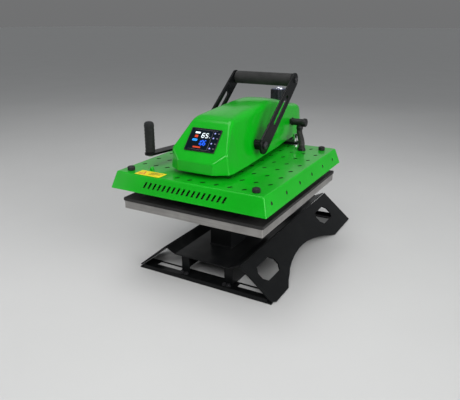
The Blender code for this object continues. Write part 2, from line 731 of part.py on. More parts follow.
def build_cover():
    faces = [[0, 1, 5, 4], [1, 2, 6, 5], [2, 3, 7, 6], [3, 0, 4, 7], [0, 3, 2, 1], [4, 5, 6, 7]]
    outer = cover_corners(0.0, COVER_BOTTOM_Z, COVER_TOP_Z)
    cover = add_object("platen_cover", outer, faces, GREEN)
    slope = (COVER_BOTTOM_W - COVER_TOP_W) / 2 / (COVER_TOP_Z - COVER_BOTTOM_Z)
    inner = []
    for z in (COVER_BOTTOM_Z - 0.004, COVER_TOP_Z - COVER_SHEET):
        half_w = COVER_TOP_W / 2 + (COVER_TOP_Z - z) * slope - COVER_SHEET
        half_d = COVER_TOP_D / 2 + (COVER_TOP_Z - z) * slope - COVER_SHEET
        for sx, sy in ((-1, -1), (1, -1), (1, 1), (-1, 1)):
            inner.append((sx * half_w, HEAD_Y + sy * half_d, z))
    cut(cover, add_object("tool_cover_inside", inner, faces, TOOL))
    holes = [turned_slot(x, y) for x, y in slot_places()]
    holes.append(rectangle(0.0, LEVER_Y, 0.050, 0.062))
    for x in (-KNOB_X, KNOB_X):
        for y in (KNOB_FRONT_Y, KNOB_BACK_Y):
            holes.append(circle(x, y, 0.0040, 12))
    cut(cover, merge_prisms("tool_cover_slots", holes, "z", 0.29, 0.32))
    side_holes = [circle(-0.2346 + i * 0.0845, 0.2810, 0.0038, 10) for i in range(6)]
    cut(cover, merge_prisms("tool_cover_side_holes", side_holes, "x", -0.24, 0.24))
    vents = []
    for i in range(VENT_COUNT):
        x = (i - (VENT_COUNT - 1) / 2) * VENT_PITCH
        vents.append([(x - 0.0065, 0.2735), (x - 0.0010, 0.2735), (x + 0.0065, 0.2885),
                      (x + 0.0010, 0.2885)])
    cut(cover, merge_prisms("tool_cover_vents", vents, "y", -0.29, -0.25))
    return cover


def build_cover_fittings():
    top = COVER_TOP_Z + GAP
    for name, x, y in (("front_left", -KNOB_X, KNOB_FRONT_Y), ("front_right", KNOB_X, KNOB_FRONT_Y),
                       ("back_left", -KNOB_X, KNOB_BACK_Y), ("back_right", KNOB_X, KNOB_BACK_Y)):
        profile = [(0.0, HEAD_TOP + GAP), (0.0030, HEAD_TOP + GAP), (0.0030, top), (0.0095, top),
                   (0.0095, top + 0.0090), (0.0080, top + 0.0105), (0.0, top + 0.0105)]
        lathe("cover_knob_" + name, profile, (x, y, 0.0), "z", PLASTIC, 16)
    profile = [(0.0, top), (0.0065, top), (0.0065, top + 0.003), (0.0050, top + 0.006),
               (0.0025, top + 0.0078), (0.0, top + 0.0082)]
    lathe("cover_dome_nut", profile, (-0.133, -0.2120, 0.0), "z", GREEN, 16)
    box("cover_label", (-0.151, -0.075), (-0.2615, -0.2275), (top, top + 0.0005), YELLOW)
    for name, side in (("left", -1), ("right", 1)):
        profile = [(0.0, top), (0.0125, top), (0.0125, top + 0.0028), (0.0060, top + 0.0028),
                   (0.0060, 0.3370), (0.0052, 0.3380), (0.0, 0.3380)]
        lathe("guide_rod_" + name, profile, (side * ROD_X, ROD_Y, 0.0), "z", CHROME, 20)


# ---- conduit -------------------------------------------------------------
FITTING_Y = 0.2520
FITTING_Z = 0.3665
FITTING_DROP_X = 0.0830
FITTING_DROP = 0.0220
GLAND_X = 0.1265
GLAND_Y = 0.1620
GLAND_HEIGHT = 0.0080
CONDUIT_R = 0.0090


def build_conduit():
    centre = (0.0, POST_Y, 0.0)
    start = 0.0468
    profile = [(0.0, start), (0.0078, start), (0.0078, 0.0560), (0.0125, 0.0560),
               (0.0125, 0.0605), (0.0105, 0.0620), (0.0105, 0.0935), (0.0130, 0.0945),
               (0.0130, 0.1030), (0.0105, 0.1050), (0.0, 0.1050)]
    fitting = lathe("conduit_fitting", profile, (0.0, FITTING_Y, FITTING_Z), "x", PLASTIC, 20,
                    pivot=centre)
    stub = rod("tool_fitting_stub", 0.0101, FITTING_Z - FITTING_DROP, FITTING_Z - 0.002,
               (FITTING_DROP_X, FITTING_Y, 0.0), "z", TOOL, 20)
    join(fitting, stub)
    top = COVER_TOP_Z + GAP
    profile = [(0.0, top), (0.0128, top), (0.0128, top + 0.0045), (0.0108, top + 0.0060),
               (0.0108, top + GLAND_HEIGHT), (0.0, top + GLAND_HEIGHT)]
    lathe("conduit_gland", profile, (GLAND_X, GLAND_Y, 0.0), "z", PLASTIC, 20)
    route = conduit_route()
    curve = bpy.data.curves.new("power_conduit", "CURVE")
    curve.dimensions = "3D"
    curve.bevel_depth = CONDUIT_R
    curve.bevel_resolution = 3
    curve.use_fill_caps = True
    line = curve.splines.new("POLY")
    line.points.add(len(route) - 1)
    for point, place in zip(line.points, route):
        point.co = (*place, 1.0)
    obj = bpy.data.objects.new("power_conduit", curve)
    bpy.context.scene.collection.objects.link(obj)
    obj.parent = ROOT
    colour, metallic, roughness = RUBBER
    curve.materials.append(make_material("power_conduit", colour, metallic, roughness))


def conduit_route(steps=13):
    """A smooth hanging run from the fitting's drop to the gland, with a short
    straight lead at each end."""
    lead = Vector((0.0, 0.0, 0.006))
    first = Vector((FITTING_DROP_X, FITTING_Y, FITTING_Z - FITTING_DROP - GAP))
    last = Vector((GLAND_X, GLAND_Y, COVER_TOP_Z + GAP + GLAND_HEIGHT + GAP))
    a = first - lead
    d = last + lead
    b = a - 2 * lead
    c = d + 3 * lead
    route = [first]
    for i in range(steps):
        t = i / (steps - 1)
        s = 1.0 - t
        route.append(a * s ** 3 + b * 3 * s * s * t + c * 3 * s * t * t + d * t ** 3)
    return route + [last]


# ---- side handle, knob, switch -------------------------------------------
def build_swing_handle():
    centre = (0.0, POST_Y, 0.0)
    half = 0.015
    high = HANDLE_Z - GAP
    bend = Vector((-0.1000, 0.1000))
    end = Vector((HANDLE_X, HANDLE_Y))
    run = (end - bend).normalized()
    side = Vector((-run.y, run.x))
    outline = [(-BEAM_HALF - GAP, 0.1000 + half), (-BEAM_HALF - GAP, 0.1000 - half)]
    inner = bend + side * half
    t = (0.1000 - half - inner.y) / run.y
    outline.append((inner.x + run.x * t, 0.1000 - half))
    heading = math.atan2(run.y, run.x)
    for i in range(9):
        angle = heading + math.pi / 2 - math.pi * i / 8
        outline.append((end.x + half * math.cos(angle), end.y + half * math.sin(angle)))
    outer = bend - side * half
    t = (0.1000 + half - 0.010 - outer.y) / run.y
    outline.append((outer.x + run.x * t, 0.1000 + half - 0.010))
    outline.append((outer.x + run.x * t + 0.010, 0.1000 + half))
    prism("swing_handle_bar", outline, "z", high - 0.006, high, BLACK, pivot=centre)
    profile = [(0.0, HANDLE_Z), (0.0115, HANDLE_Z), (0.0130, HANDLE_Z + 0.004),
               (0.0130, HANDLE_Z + 0.072), (0.0105, HANDLE_Z + 0.079), (0.0060, HANDLE_Z + 0.081),
               (0.0, HANDLE_Z + 0.081)]
    lathe("swing_handle_grip", profile, (HANDLE_X, HANDLE_Y, 0.0), "z", RUBBER, 24, pivot=centre)


def build_pressure_knob():
    centre = (0.0, ADJUST_Y, 0.0)
    screw_top = 0.4252
    profile = [(0.0, 0.330), (0.0055, 0.330), (0.0060, 0.331), (0.0060, screw_top),
               (0.0, screw_top)]
    lathe("pressure_screw", profile, centre, "z", STEEL, 16, pivot=centre)
    low = screw_top + GAP
    knob = prism("pressure_knob", knob_outline(), "z", low, KNOB_TOP, PLASTIC, pivot=centre)
    bevel(knob, 0.0012)
    cap = KNOB_TOP + GAP
    profile = [(0.0, cap), (0.0240, cap), (0.0240, cap + 0.0006), (0.0225, cap + 0.0010),
               (0.0128, cap + 0.0010), (0.0122, cap + 0.0036), (0.0100, cap + 0.0062),
               (0.0060, cap + 0.0079), (0.0, cap + 0.0085)]
    lathe("pressure_knob_cap", profile, centre, "z", ALUMINIUM, 32, pivot=centre)


def knob_outline(lobes=10, per_lobe=6):
    """A round knob with shallow finger hollows."""
    points = []
    count = lobes * per_lobe
    for i in range(count):
        angle = 2 * math.pi * i / count
        radius = 0.0272 - 0.0009 * (1.0 - math.cos(lobes * angle))
        points.append((radius * math.cos(angle), ADJUST_Y + radius * math.sin(angle)))
    return points


def build_switch():
    centre = (0.0, POST_Y, 0.0)
    mid = 0.3450
    flange = box("power_inlet", (-0.0602, -0.0572), (0.2230, 0.2870), (mid - 0.016, mid + 0.016),
                 PLASTIC, pivot=centre)
    body = box("tool_inlet_body", (-0.0582, -0.0410), (0.2290, 0.2810),
               (mid - 0.0125, mid + 0.0125), TOOL)
    join(flange, body)
    socket = merge_prisms("tool_inlet_socket", [rectangle(0.2440, mid, 0.0240, 0.0170)], "x",
                          -0.0650, -0.0450)
    cut(flange, socket)
    pocket = merge_prisms("tool_switch_pocket", [rectangle(0.2700, mid, 0.0150, 0.0212)], "x",
                          -0.0650, -0.0500)
    cut(flange, pocket)
    axis = (-0.0570, 0.2700, mid)
    tilt = math.radians(8.0)
    shape = [(-0.0040, -0.0070), (0.0044, -0.0090), (0.0026, 0.0), (0.0044, 0.0090),
             (-0.0040, 0.0070)]
    outline = []
    for out, up in shape:
        x = axis[0] - (out * math.cos(tilt) - up * math.sin(tilt))
        z = axis[2] + out * math.sin(tilt) + up * math.cos(tilt)
        outline.append((x, z))
    prism("power_switch", outline, "y", 0.2700 - 0.0072, 0.2700 + 0.0072, PLASTIC, pivot=axis)


# ---- everything ----------------------------------------------------------
clear_scene()
ROOT = bpy.data.objects.new("press", None)
bpy.context.scene.collection.objects.link(ROOT)
ROOT.location = (0.0, SHIFT_Y, 0.0)

build_base()
build_lower_platen()
build_post()
build_arm()
build_hood()
build_display()
build_lever()
build_heating_platen()
build_cover()
build_cover_fittings()
build_conduit()
build_swing_handle()
build_pressure_knob()
build_switch()
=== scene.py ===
"""Looks of the swing-away heat press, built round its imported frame.

Lengths are in metres in the frame's axes: +X to the operator's right, +Y
towards the back, +Z up.  Places come from the frame's boxes and joints."""

import json
import math
from contextlib import contextmanager

import bmesh
import bpy
from mathutils import Matrix, Vector


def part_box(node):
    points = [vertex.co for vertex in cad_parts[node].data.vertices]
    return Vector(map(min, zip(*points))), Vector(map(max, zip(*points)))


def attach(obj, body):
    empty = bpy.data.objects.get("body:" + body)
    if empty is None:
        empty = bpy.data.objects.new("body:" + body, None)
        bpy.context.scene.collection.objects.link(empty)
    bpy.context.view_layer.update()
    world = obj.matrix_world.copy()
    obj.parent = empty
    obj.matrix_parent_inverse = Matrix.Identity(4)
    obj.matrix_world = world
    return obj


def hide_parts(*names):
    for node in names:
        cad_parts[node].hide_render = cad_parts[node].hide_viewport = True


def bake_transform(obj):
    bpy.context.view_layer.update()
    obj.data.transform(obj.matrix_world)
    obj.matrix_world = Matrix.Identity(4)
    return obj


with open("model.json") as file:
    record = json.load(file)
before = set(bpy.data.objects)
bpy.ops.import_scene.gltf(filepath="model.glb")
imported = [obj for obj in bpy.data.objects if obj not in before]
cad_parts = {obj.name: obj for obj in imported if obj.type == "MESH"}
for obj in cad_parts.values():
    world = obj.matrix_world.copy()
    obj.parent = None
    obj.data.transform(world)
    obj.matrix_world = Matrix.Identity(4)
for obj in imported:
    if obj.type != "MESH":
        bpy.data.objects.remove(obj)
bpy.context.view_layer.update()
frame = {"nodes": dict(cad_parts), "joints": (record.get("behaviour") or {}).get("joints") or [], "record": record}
RECORD = frame["record"]
BODY_OF = {node: body for body, nodes in RECORD["behaviour"]["bodies"].items() for node in nodes}
JOINT = {joint["name"]: joint for joint in frame["joints"]}
POST = Vector(JOINT["swing"]["pos_m"])
LEVER = Vector(JOINT["lever_pull"]["pos_m"])
SIDES = ((-1, "left"), (1, "right"))
COVER_KNOBS = [node for node in BODY_OF if node.startswith("cover_knob")]

# ---- camera and studio ---------------------------------------------------
CAMERA_TURN = math.radians(29.23)
CAMERA_RISE = math.radians(20.08)
CAMERA_PLACE = (0.62536, -1.24269, 0.65786)
CAMERA_LENS = 38.135

# ---- sheet metal ---------------------------------------------------------
HOOD_SHEET = 0.0016
COVER_SHEET = 0.0012
# Hood stations from front to back: distance behind the post, half width at
# the hem, half width at the shoulder, shoulder height, crown, shoulder radius.
HOOD_STATIONS = (
    (-0.5620, 0.0500, 0.0500, 0.3420, 0.0000, 0.0060),
    (-0.5400, 0.0830, 0.0800, 0.3657, 0.0000, 0.0070),
    (-0.5210, 0.0865, 0.0715, 0.3862, 0.0000, 0.0080),
    (-0.4880, 0.0850, 0.0590, 0.4217, 0.0000, 0.0100),
    (-0.4700, 0.0845, 0.0570, 0.4330, 0.0005, 0.0120),
    (-0.4450, 0.0835, 0.0565, 0.4375, 0.0020, 0.0160),
    (-0.3650, 0.0775, 0.0560, 0.4430, 0.0050, 0.0180),
    (-0.2850, 0.0715, 0.0555, 0.4480, 0.0055, 0.0180),
    (-0.2210, 0.0665, 0.0540, 0.4495, 0.0040, 0.0180),
    (-0.1550, 0.0600, 0.0510, 0.4390, 0.0020, 0.0180),
    (-0.1050, 0.0555, 0.0480, 0.4240, 0.0010, 0.0180),
    (-0.0550, 0.0515, 0.0440, 0.4155, 0.0010, 0.0180),
    (-0.0150, 0.0485, 0.0410, 0.4105, 0.0010, 0.0180),
    (0.0150, 0.0440, 0.0360, 0.4005, 0.0010, 0.0140),
    (0.0330, 0.0340, 0.0270, 0.3855, 0.0010, 0.0110),
    (0.0430, 0.0210, 0.0150, 0.3640, 0.0005, 0.0070),
    (0.0470, 0.0100, 0.0070, 0.3520, 0.0000, 0.0030),
)
HOOD_HEM = 0.315            # height of the hem


# ---- materials -----------------------------------------------------------
NOISE_LOW = 0.3             # a Noise texture's usual spread
NOISE_HIGH = 0.7
EDGE_LOW = 0.57             # Pointiness next to a flat face's corner
EDGE_HIGH = 0.66            # Pointiness at which edges are fully lightened: wear and painted highlight
UP_LOW = 0.6                # height of a normal that starts to gather dust
MIX_COLOUR_A = 6            # the Mix node's colour sockets, by their place
MIX_COLOUR_B = 7
MIX_COLOUR_RESULT = 2


def feed(tree, socket, value):
    """Link a node's output to a socket, or set the socket's value."""
    if isinstance(value, bpy.types.NodeSocket):
        tree.links.new(value, socket)
    elif isinstance(value, tuple) and len(value) == 3 and socket.type == "RGBA":
        socket.default_value = (*value, 1.0)
    else:
        socket.default_value = value


def wired(tree, kind, output, inputs=(), **settings):
    """Add a node, feed its inputs and give back one output."""
    made = tree.nodes.new(kind)
    for key, value in settings.items():
        setattr(made, key, value)
    for key, value in dict(inputs).items():
        feed(tree, made.inputs[key], value)
    return made.outputs[output]


def blended(tree, share, one, two):
    return wired(tree, "ShaderNodeMix", MIX_COLOUR_RESULT,
                 {"Factor": share, MIX_COLOUR_A: one, MIX_COLOUR_B: two}, data_type="RGBA")


class Look:
    """A Principled material and short names for the nodes it uses."""

    def __init__(self, name, roughness=0.5, metallic=0.0, **extra):
        self.mat = bpy.data.materials.new(name)
        self.mat.use_nodes = True
        self.tree = self.mat.node_tree
        self.shader = self.tree.nodes["Principled BSDF"]
        place = self.tree.nodes.new("ShaderNodeTexCoord")
        self.here = place.outputs["Object"]
        self.facing = place.outputs["Normal"]
        self.set("Roughness", roughness)
        self.set("Metallic", metallic)
        for key, value in extra.items():
            self.set(key.replace("_", " "), value)

    def set(self, key, value):
        feed(self.tree, self.shader.inputs[key], value)

    def node(self, *details, **settings):
        return wired(self.tree, *details, **settings)

    def noise(self, scale, detail=2.0, stretch=(1.0, 1.0, 1.0)):
        spot = self.node("ShaderNodeMapping", "Vector", {"Vector": self.here, "Scale": stretch})
        return self.node("ShaderNodeTexNoise", "Fac",
                         {"Vector": spot, "Scale": scale, "Detail": detail})

    def cells(self, scale):
        return self.node("ShaderNodeTexVoronoi", "Distance", {"Vector": self.here, "Scale": scale})

    def weave(self, scale, direction):
        return self.node("ShaderNodeTexWave", "Fac", {"Vector": self.here, "Scale": scale},
                         bands_direction=direction)

    def math(self, operation, one, two):
        return self.node("ShaderNodeMath", "Value", {0: one, 1: two}, operation=operation)

    def span(self, value, low, high, to_low=0.0, to_high=1.0):
        return self.node("ShaderNodeMapRange", "Result",
                         {"Value": value, "From Min": low, "From Max": high, "To Min": to_low,
                          "To Max": to_high})

    def mix(self, share, one, two):
        return blended(self.tree, share, one, two)

    def patches(self, scale, detail=2.0, to_low=0.0, to_high=1.0):
        """Noise stretched over its usual spread."""
        return self.span(self.noise(scale, detail), NOISE_LOW, NOISE_HIGH, to_low, to_high)

    def edges(self):
        """1 on outside edges, 0 on flat faces."""
        return self.span(self.node("ShaderNodeNewGeometry", "Pointiness"), EDGE_LOW, EDGE_HIGH)

    def upward(self):
        """1 where the surface faces up at rest."""
        height = self.node("ShaderNodeSeparateXYZ", "Z", {"Vector": self.facing})
        return self.span(height, UP_LOW, 1.0)

    def dust(self, share):
        return self.math("MULTIPLY", self.upward(),
                         self.span(self.noise(38.0, 5.0), 0.42, 0.75, 0.0, share))

    def bump(self, height, strength, distance):
        self.set("Normal", self.node("ShaderNodeBump", "Normal", {
            "Height": height, "Strength": strength, "Distance": distance}))


def shaded(tone, share):
    return tuple(share * v for v in tone)


def green_paint():
    look = Look("green_paint", Coat_Weight=0.55, Coat_Roughness=0.12, Coat_IOR=1.36,
                Specular_IOR_Level=0.16)
    tone = look.mix(look.patches(9.0), (0.0005, 0.315, 0.005), (0.001, 0.365, 0.007))
    tone = look.mix(look.dust(0.05), tone, (0.25, 0.36, 0.25))
    # worn here is a painted highlight: a lighter green along the edges, patchy with noise.
    worn = look.math("MULTIPLY", look.edges(), look.patches(55.0))
    tone = look.mix(look.math("MULTIPLY", worn, 0.35), tone, (0.06, 0.56, 0.08))
    look.set("Base Color", tone)
    look.set("Roughness", look.patches(70.0, 4.0, 0.28, 0.36))
    look.bump(look.noise(420.0, 2.0), 0.045, 0.0003)
    return look.mat


def black_powder(name="black_powder_coat", gloss=0.30, shine=0.11):
    look = Look(name, Coat_Weight=0.05, Coat_Roughness=0.12, Specular_IOR_Level=shine)
    tone = look.mix(look.patches(14.0, 3.0), (0.0040, 0.0044, 0.0047), (0.0056, 0.0061, 0.0065))
    tone = look.mix(look.dust(0.03), tone, (0.20, 0.20, 0.19))
    # worn here is partly wear and partly a painted highlight: a lighter grey along the edges.
    worn = look.math("MULTIPLY", look.edges(), look.span(look.noise(80.0), 0.35, 0.7))
    tone = look.mix(look.math("MULTIPLY", worn, 0.5), tone, (0.075, 0.077, 0.080))
    look.set("Base Color", tone)
    look.set("Roughness", look.patches(45.0, 5.0, gloss - 0.01, gloss + 0.03))
    look.bump(look.cells(900.0), 0.12, 0.0003)
    return look.mat


def painted_shade_inside():
    """Painted shade: a dark coat inside the sheet covers and on the walls of their holes."""
    look = Look("sheet_inside_painted_shade", Specular_IOR_Level=0.15)
    look.set("Base Color", look.mix(look.noise(40.0, 5.0), (0.004, 0.009, 0.005),
                                    (0.010, 0.018, 0.011)))
    look.set("Roughness", look.patches(60.0, 3.0, 0.60, 0.85))
    look.bump(look.noise(260.0, 3.0), 0.10, 0.0003)
    return look.mat


def machined(name, tone_low, tone_high, stretch, roughness, lines=0.10):
    """Metal with tool marks that run across the stretched axis, and a painted highlight along its edges."""
    look = Look(name, metallic=1.0)
    marks = look.noise(6.0, 4.0, stretch)
    tone = look.mix(look.patches(18.0, 4.0), tone_low, tone_high)
    tone = look.mix(look.span(marks, 0.40, 0.75, 0.0, 0.30), tone,
                    shaded(tone_low, 0.6))
    # Painted highlight: the tone goes nearly white along the edges.
    tone = look.mix(look.math("MULTIPLY", look.edges(), 0.6), tone, (0.90, 0.90, 0.88))
    look.set("Base Color", tone)
    stain = look.patches(30.0, 5.0, -0.07, 0.10)
    look.set("Roughness", look.math("ADD", stain, roughness))
    look.bump(marks, lines, 0.0003)
    return look.mat


def polished(name, tone=(0.72, 0.73, 0.75), roughness=0.10):
    look = Look(name, metallic=1.0)
    smear = look.noise(40.0, 5.0)
    look.set("Base Color", look.mix(look.span(smear, 0.3, 0.8), tone, shaded(tone, 0.8)))
    look.set("Roughness", look.span(smear, 0.35, 0.8, roughness, roughness + 0.12))
    look.bump(look.noise(300.0, 2.0, (1.0, 1.0, 6.0)), 0.02, 0.0002)
    return look.mat


def foam_rubber(name="grip_rubber", tone=(0.020, 0.020, 0.020)):
    look = Look(name, roughness=0.72, Specular_IOR_Level=0.25, Sheen_Weight=0.05,
                Sheen_Roughness=0.5)
    pores = look.cells(1300.0)
    shade = look.mix(look.patches(26.0, 4.0), shaded(tone, 0.75),
                     shaded(tone, 1.25))
    # Painted shade: the tone is darker in the pores.
    shade = look.mix(look.span(pores, 0.0, 0.5, 0.5, 0.0), shade, shaded(tone, 0.4))
    look.set("Base Color", shade)
    look.set("Roughness", look.patches(60.0, 3.0, 0.62, 0.82))
    look.bump(pores, 0.35, 0.0003)
    return look.mat


def silicone_sheet():
    """Sponge silicone with the print of the cloth it was pressed against."""
    look = Look("silicone_sheet", Specular_IOR_Level=0.3)
    cloth = look.math("MULTIPLY", look.weave(260.0, "X"), look.weave(260.0, "Y"))
    tone = look.mix(look.patches(12.0, 5.0), (0.012, 0.012, 0.012), (0.021, 0.020, 0.019))
    tone = look.mix(look.dust(0.04), tone, (0.3, 0.3, 0.28))
    look.set("Base Color", tone)
    look.set("Roughness", look.patches(50.0, 4.0, 0.55, 0.75))
    look.bump(cloth, 0.25, 0.0004)
    return look.mat


def mineral_board():
    look = Look("mineral_board", roughness=0.92)
    fibre = look.noise(90.0, 6.0, (1.0, 4.0, 1.0))
    look.set("Base Color", look.mix(fibre, (0.016, 0.015, 0.013), (0.050, 0.046, 0.038)))
    look.bump(fibre, 0.7, 0.001)
    return look.mat


def moulded_plastic(name="black_plastic", tone=(0.007, 0.0075, 0.008), roughness=0.40):
    look = Look(name, Specular_IOR_Level=0.30)
    grain = look.cells(1800.0)
    shade = look.mix(look.patches(30.0, 3.0), shaded(tone, 0.8),
                     shaded(tone, 1.3))
    scuffed = look.math("MULTIPLY", look.edges(), 0.4)
    shade = look.mix(scuffed, shade, tuple(min(1.0, v + 0.07) for v in tone))
    look.set("Base Color", shade)
    look.set("Roughness", look.patches(70.0, 3.0, roughness - 0.06, roughness + 0.10))
    look.bump(grain, 0.10, 0.0002)
    return look.mat


def panel_glass():
    look = Look("display_glass", Specular_IOR_Level=0.12)
    smear = look.noise(55.0, 5.0)
    look.set("Base Color", look.mix(smear, (0.0012, 0.0045, 0.0085), (0.0030, 0.0085, 0.0150)))
    look.set("Roughness", look.span(smear, 0.4, 0.75, 0.05, 0.16))
    return look.mat


def printed(name, tone):
    """Ink or film with a slightly uneven tone."""
    look = Look(name)
    patch = look.patches(160.0, 4.0)
    look.set("Base Color", look.mix(patch, shaded(tone, 0.88), tone))
    look.set("Roughness", look.patches(90.0, 3.0, 0.4, 0.6))
    look.bump(look.noise(500.0, 2.0), 0.04, 0.0002)
    return look.mat


def lit(name, tone, power):
    """A lit part of the display, with the faint dots of its pixels."""
    look = Look(name, roughness=0.2)
    dots = look.span(look.cells(2600.0), 0.0, 0.6, 1.0, 0.65)
    look.set("Base Color", shaded(tone, 0.5))
    look.set("Emission Color", look.mix(dots, shaded(tone, 0.7), tone))
    look.set("Emission Strength", power)
    return look.mat


GREEN = green_paint()
INSIDE_SHADE = painted_shade_inside()
BLACK = black_powder()
LEVER_BLACK = black_powder("lever_paint", 0.24, 0.10)
CAST_SIDE = machined("platen_aluminium", (0.28, 0.27, 0.262), (0.40, 0.39, 0.375),
                     (1.0, 1.0, 40.0), 0.42, 0.14)
HOT_SIDE = machined("heated_aluminium", (0.050, 0.046, 0.042), (0.095, 0.088, 0.080),
                    (1.0, 1.0, 40.0), 0.50, 0.14)
COATED = moulded_plastic("platen_coating", (0.020, 0.019, 0.018), 0.45)
STEEL = machined("bright_steel", (0.46, 0.47, 0.49), (0.62, 0.63, 0.65), (60.0, 3.0, 3.0), 0.28)
BOLT = machined("plated_bolt", (0.40, 0.40, 0.41), (0.60, 0.60, 0.60), (3.0, 3.0, 50.0), 0.30)
BLACK_BOLT = moulded_plastic("blackened_bolt", (0.020, 0.020, 0.022), 0.34)
CHROME = polished("chrome")
CAP_METAL = polished("knob_cap_metal", (0.62, 0.63, 0.72), 0.24)
CAP_RING = machined("knob_ring_metal", (0.09, 0.10, 0.20), (0.14, 0.16, 0.28), (3.0, 3.0, 60.0),
                    0.34)
RUBBER = foam_rubber()
HAND_RUBBER = foam_rubber("handle_rubber", (0.0065, 0.0075, 0.0075))
SILICONE = silicone_sheet()
BOARD = mineral_board()
PLASTIC = moulded_plastic()
KNOB_PLASTIC = moulded_plastic("knob_plastic", (0.010, 0.011, 0.016), 0.30)
CONDUIT = moulded_plastic("conduit_plastic", (0.014, 0.014, 0.013), 0.48)
GLASS = panel_glass()
YELLOW = printed("label_film", (0.80, 0.66, 0.004))
INK = printed("label_ink", (0.030, 0.022, 0.012))
RED_INK = printed("label_red_ink", (0.62, 0.10, 0.030))


# ---- mesh tools ----------------------------------------------------------
CREASE = 32.0               # edges sharper than this, in degrees, stay sharp
SHEET_CREASE = 30.0
NUT_CREASE = 28.0
RIB_CREASE = 40.0
PLATE_CREASE = 50.0
TUBE_CREASE = 60.0
CORNER_SHARE = 0.48         # most of a side that one rounded corner may use
SHARP = 0.0001              # corner radius of tools, thickness of ink and films


@contextmanager
def opened(mesh):
    """A mesh as a bmesh, written back at the end."""
    bm = bmesh.new()
    bm.from_mesh(mesh)
    yield bm
    bm.to_mesh(mesh)
    bm.free()


def smooth(mesh, degrees=CREASE):
    """Smooth faces that keep their sharp edges."""
    limit = math.radians(degrees)
    with opened(mesh) as bm:
        for face in bm.faces:
            face.smooth = True
        for edge in bm.edges:
            edge.smooth = len(edge.link_faces) == 2 and edge.calc_face_angle(0.0) < limit
    return mesh


def welded(mesh, distance):
    """A mesh with its coinciding corners merged and its faces turned out."""
    with opened(mesh) as bm:
        bmesh.ops.remove_doubles(bm, verts=bm.verts, dist=distance)
        bmesh.ops.recalc_face_normals(bm, faces=bm.faces)
    return mesh


def loft(loops, ring=False, degrees=CREASE, shut=True):
    """Skin loops of equal length, which are lines when they aren't shut.
    ring joins the last to the first."""
    count = len(loops[0])
    verts = [tuple(v) for loop in loops for v in loop]
    faces = []
    pairs = [(i, i + 1) for i in range(len(loops) - 1)]
    if ring:
        pairs.append((len(loops) - 1, 0))
    for one, two in pairs:
        for k in range(count if shut else count - 1):
            n = (k + 1) % count
            faces.append((one * count + k, one * count + n, two * count + n, two * count + k))
    if not ring:
        faces.append(tuple(range(count)))
        faces.append(tuple(range((len(loops) - 1) * count, len(loops) * count)))
    mesh = bpy.data.meshes.new("piece")
    mesh.from_pydata(verts, [], faces)
    return smooth(welded(mesh, 1e-7), degrees)


def prism(outline, low, high, spot=lambda a, b, c: (a, b, c)):
    """An outline drawn out from low to high.  spot gives a point's place."""
    return loft([[Vector(spot(a, b, c)) for a, b in outline] for c in (low, high)])


def bent(start, corner, end, t):
    """A point on the curve that rounds a corner."""
    return start * (1 - t) ** 2 + corner * (2 * t * (1 - t)) + end * t ** 2


def soften(points, radius, steps=3, closed=False):
    """Round the corners of a line of points."""
    made = []
    count = len(points)
    for i in range(count):
        here = Vector(points[i])
        if not closed and i in (0, count - 1):
            made.append(tuple(here))
            continue
        back = Vector(points[i - 1]) - here
        on = Vector(points[(i + 1) % count]) - here
        reach = min(radius, CORNER_SHARE * back.length, CORNER_SHARE * on.length)
        start = here + back.normalized() * reach
        end = here + on.normalized() * reach
        made += [tuple(bent(start, here, end, k / steps)) for k in range(steps + 1)]
    return made


def corners(x0, y0, x1, y1):
    return [(x0, y0), (x1, y0), (x1, y1), (x0, y1)]


def panel(x0, y0, x1, y1, corner, steps=3):
    """A rectangle's outline, its corners rounded."""
    return soften(corners(x0, y0, x1, y1), corner, steps, True)


def stand(origin, direction=(0, 0, 1)):
    """Matrix that takes +Z to a direction and the origin to a place."""
    turn = Vector((0, 0, 1)).rotation_difference(Vector(direction).normalized())
    return Matrix.Translation(Vector(origin)) @ turn.to_matrix().to_4x4()


def raised(place, height):
    """A matrix moved along its own Z."""
    return place @ Matrix.Translation((0, 0, height))


def disc(radius, height, count):
    """A loop round Z.  The radius may be a function of the angle."""
    loop = []
    for k in range(count):
        angle = 2 * math.pi * k / count
        r = radius(angle) if callable(radius) else radius
        loop.append(Vector((r * math.cos(angle), r * math.sin(angle), height)))
    return loop


def stack(sections, matrix, segments, degrees, ring=False):
    """A piece skinned over (radius, height) sections."""
    return loft([[matrix @ v for v in disc(r, h, segments)] for r, h in sections], ring, degrees)


def turned(profile, matrix, segments, edge, degrees=CREASE):
    """A round piece, its profile's corners rounded.  It is hollow when the
    profile stays off the axis."""
    hollow = min(r for r, h in profile) > 0
    points = [(r, h) for r, h in soften(profile, edge, 3, hollow) if r > 1e-5]
    return stack(points, matrix, segments, degrees, hollow)


def tube(matrix, inner, outer, low, high, segments, edge):
    """A tube, or a rod when inner is 0."""
    profile = [(inner, low), (outer, low), (outer, high), (inner, high)]
    return turned(profile, matrix, segments, edge)


def hexagon(reach):
    """Radius of a hexagon whose corners are at reach."""
    def radius(angle):
        return reach * math.cos(math.pi / 6) / math.cos(angle % (math.pi / 3) - math.pi / 6)
    return radius


def joined(*meshes):
    """One mesh from several, their materials kept by index."""
    bm = bmesh.new()
    for mesh in meshes:
        bm.from_mesh(mesh)
    made = bpy.data.meshes.new("piece")
    bm.to_mesh(made)
    bm.free()
    for look in meshes[0].materials:
        made.materials.append(look)
    for mesh in meshes:
        bpy.data.meshes.remove(mesh)
    return made


def slab(low, high, edge, corner=0.0):
    """A box with rounded edges, and rounder upright corners if asked."""
    middle = Vector(((low[0] + high[0]) / 2, (low[1] + high[1]) / 2))
    outline = panel(low[0], low[1], high[0], high[1], max(corner, edge), 4)
    side = soften([(edge * 3, low[2]), (0.0, low[2]), (0.0, high[2]), (edge * 3, high[2])], edge)
    loops = []
    for inset, z in side:
        loop = []
        for p in [Vector(p) for p in outline]:
            away = p - middle
            shift = Vector((math.copysign(inset, away.x), math.copysign(inset, away.y)))
            loop.append(Vector((*(p - shift), z)))
        loops.append(loop)
    return loft(loops)


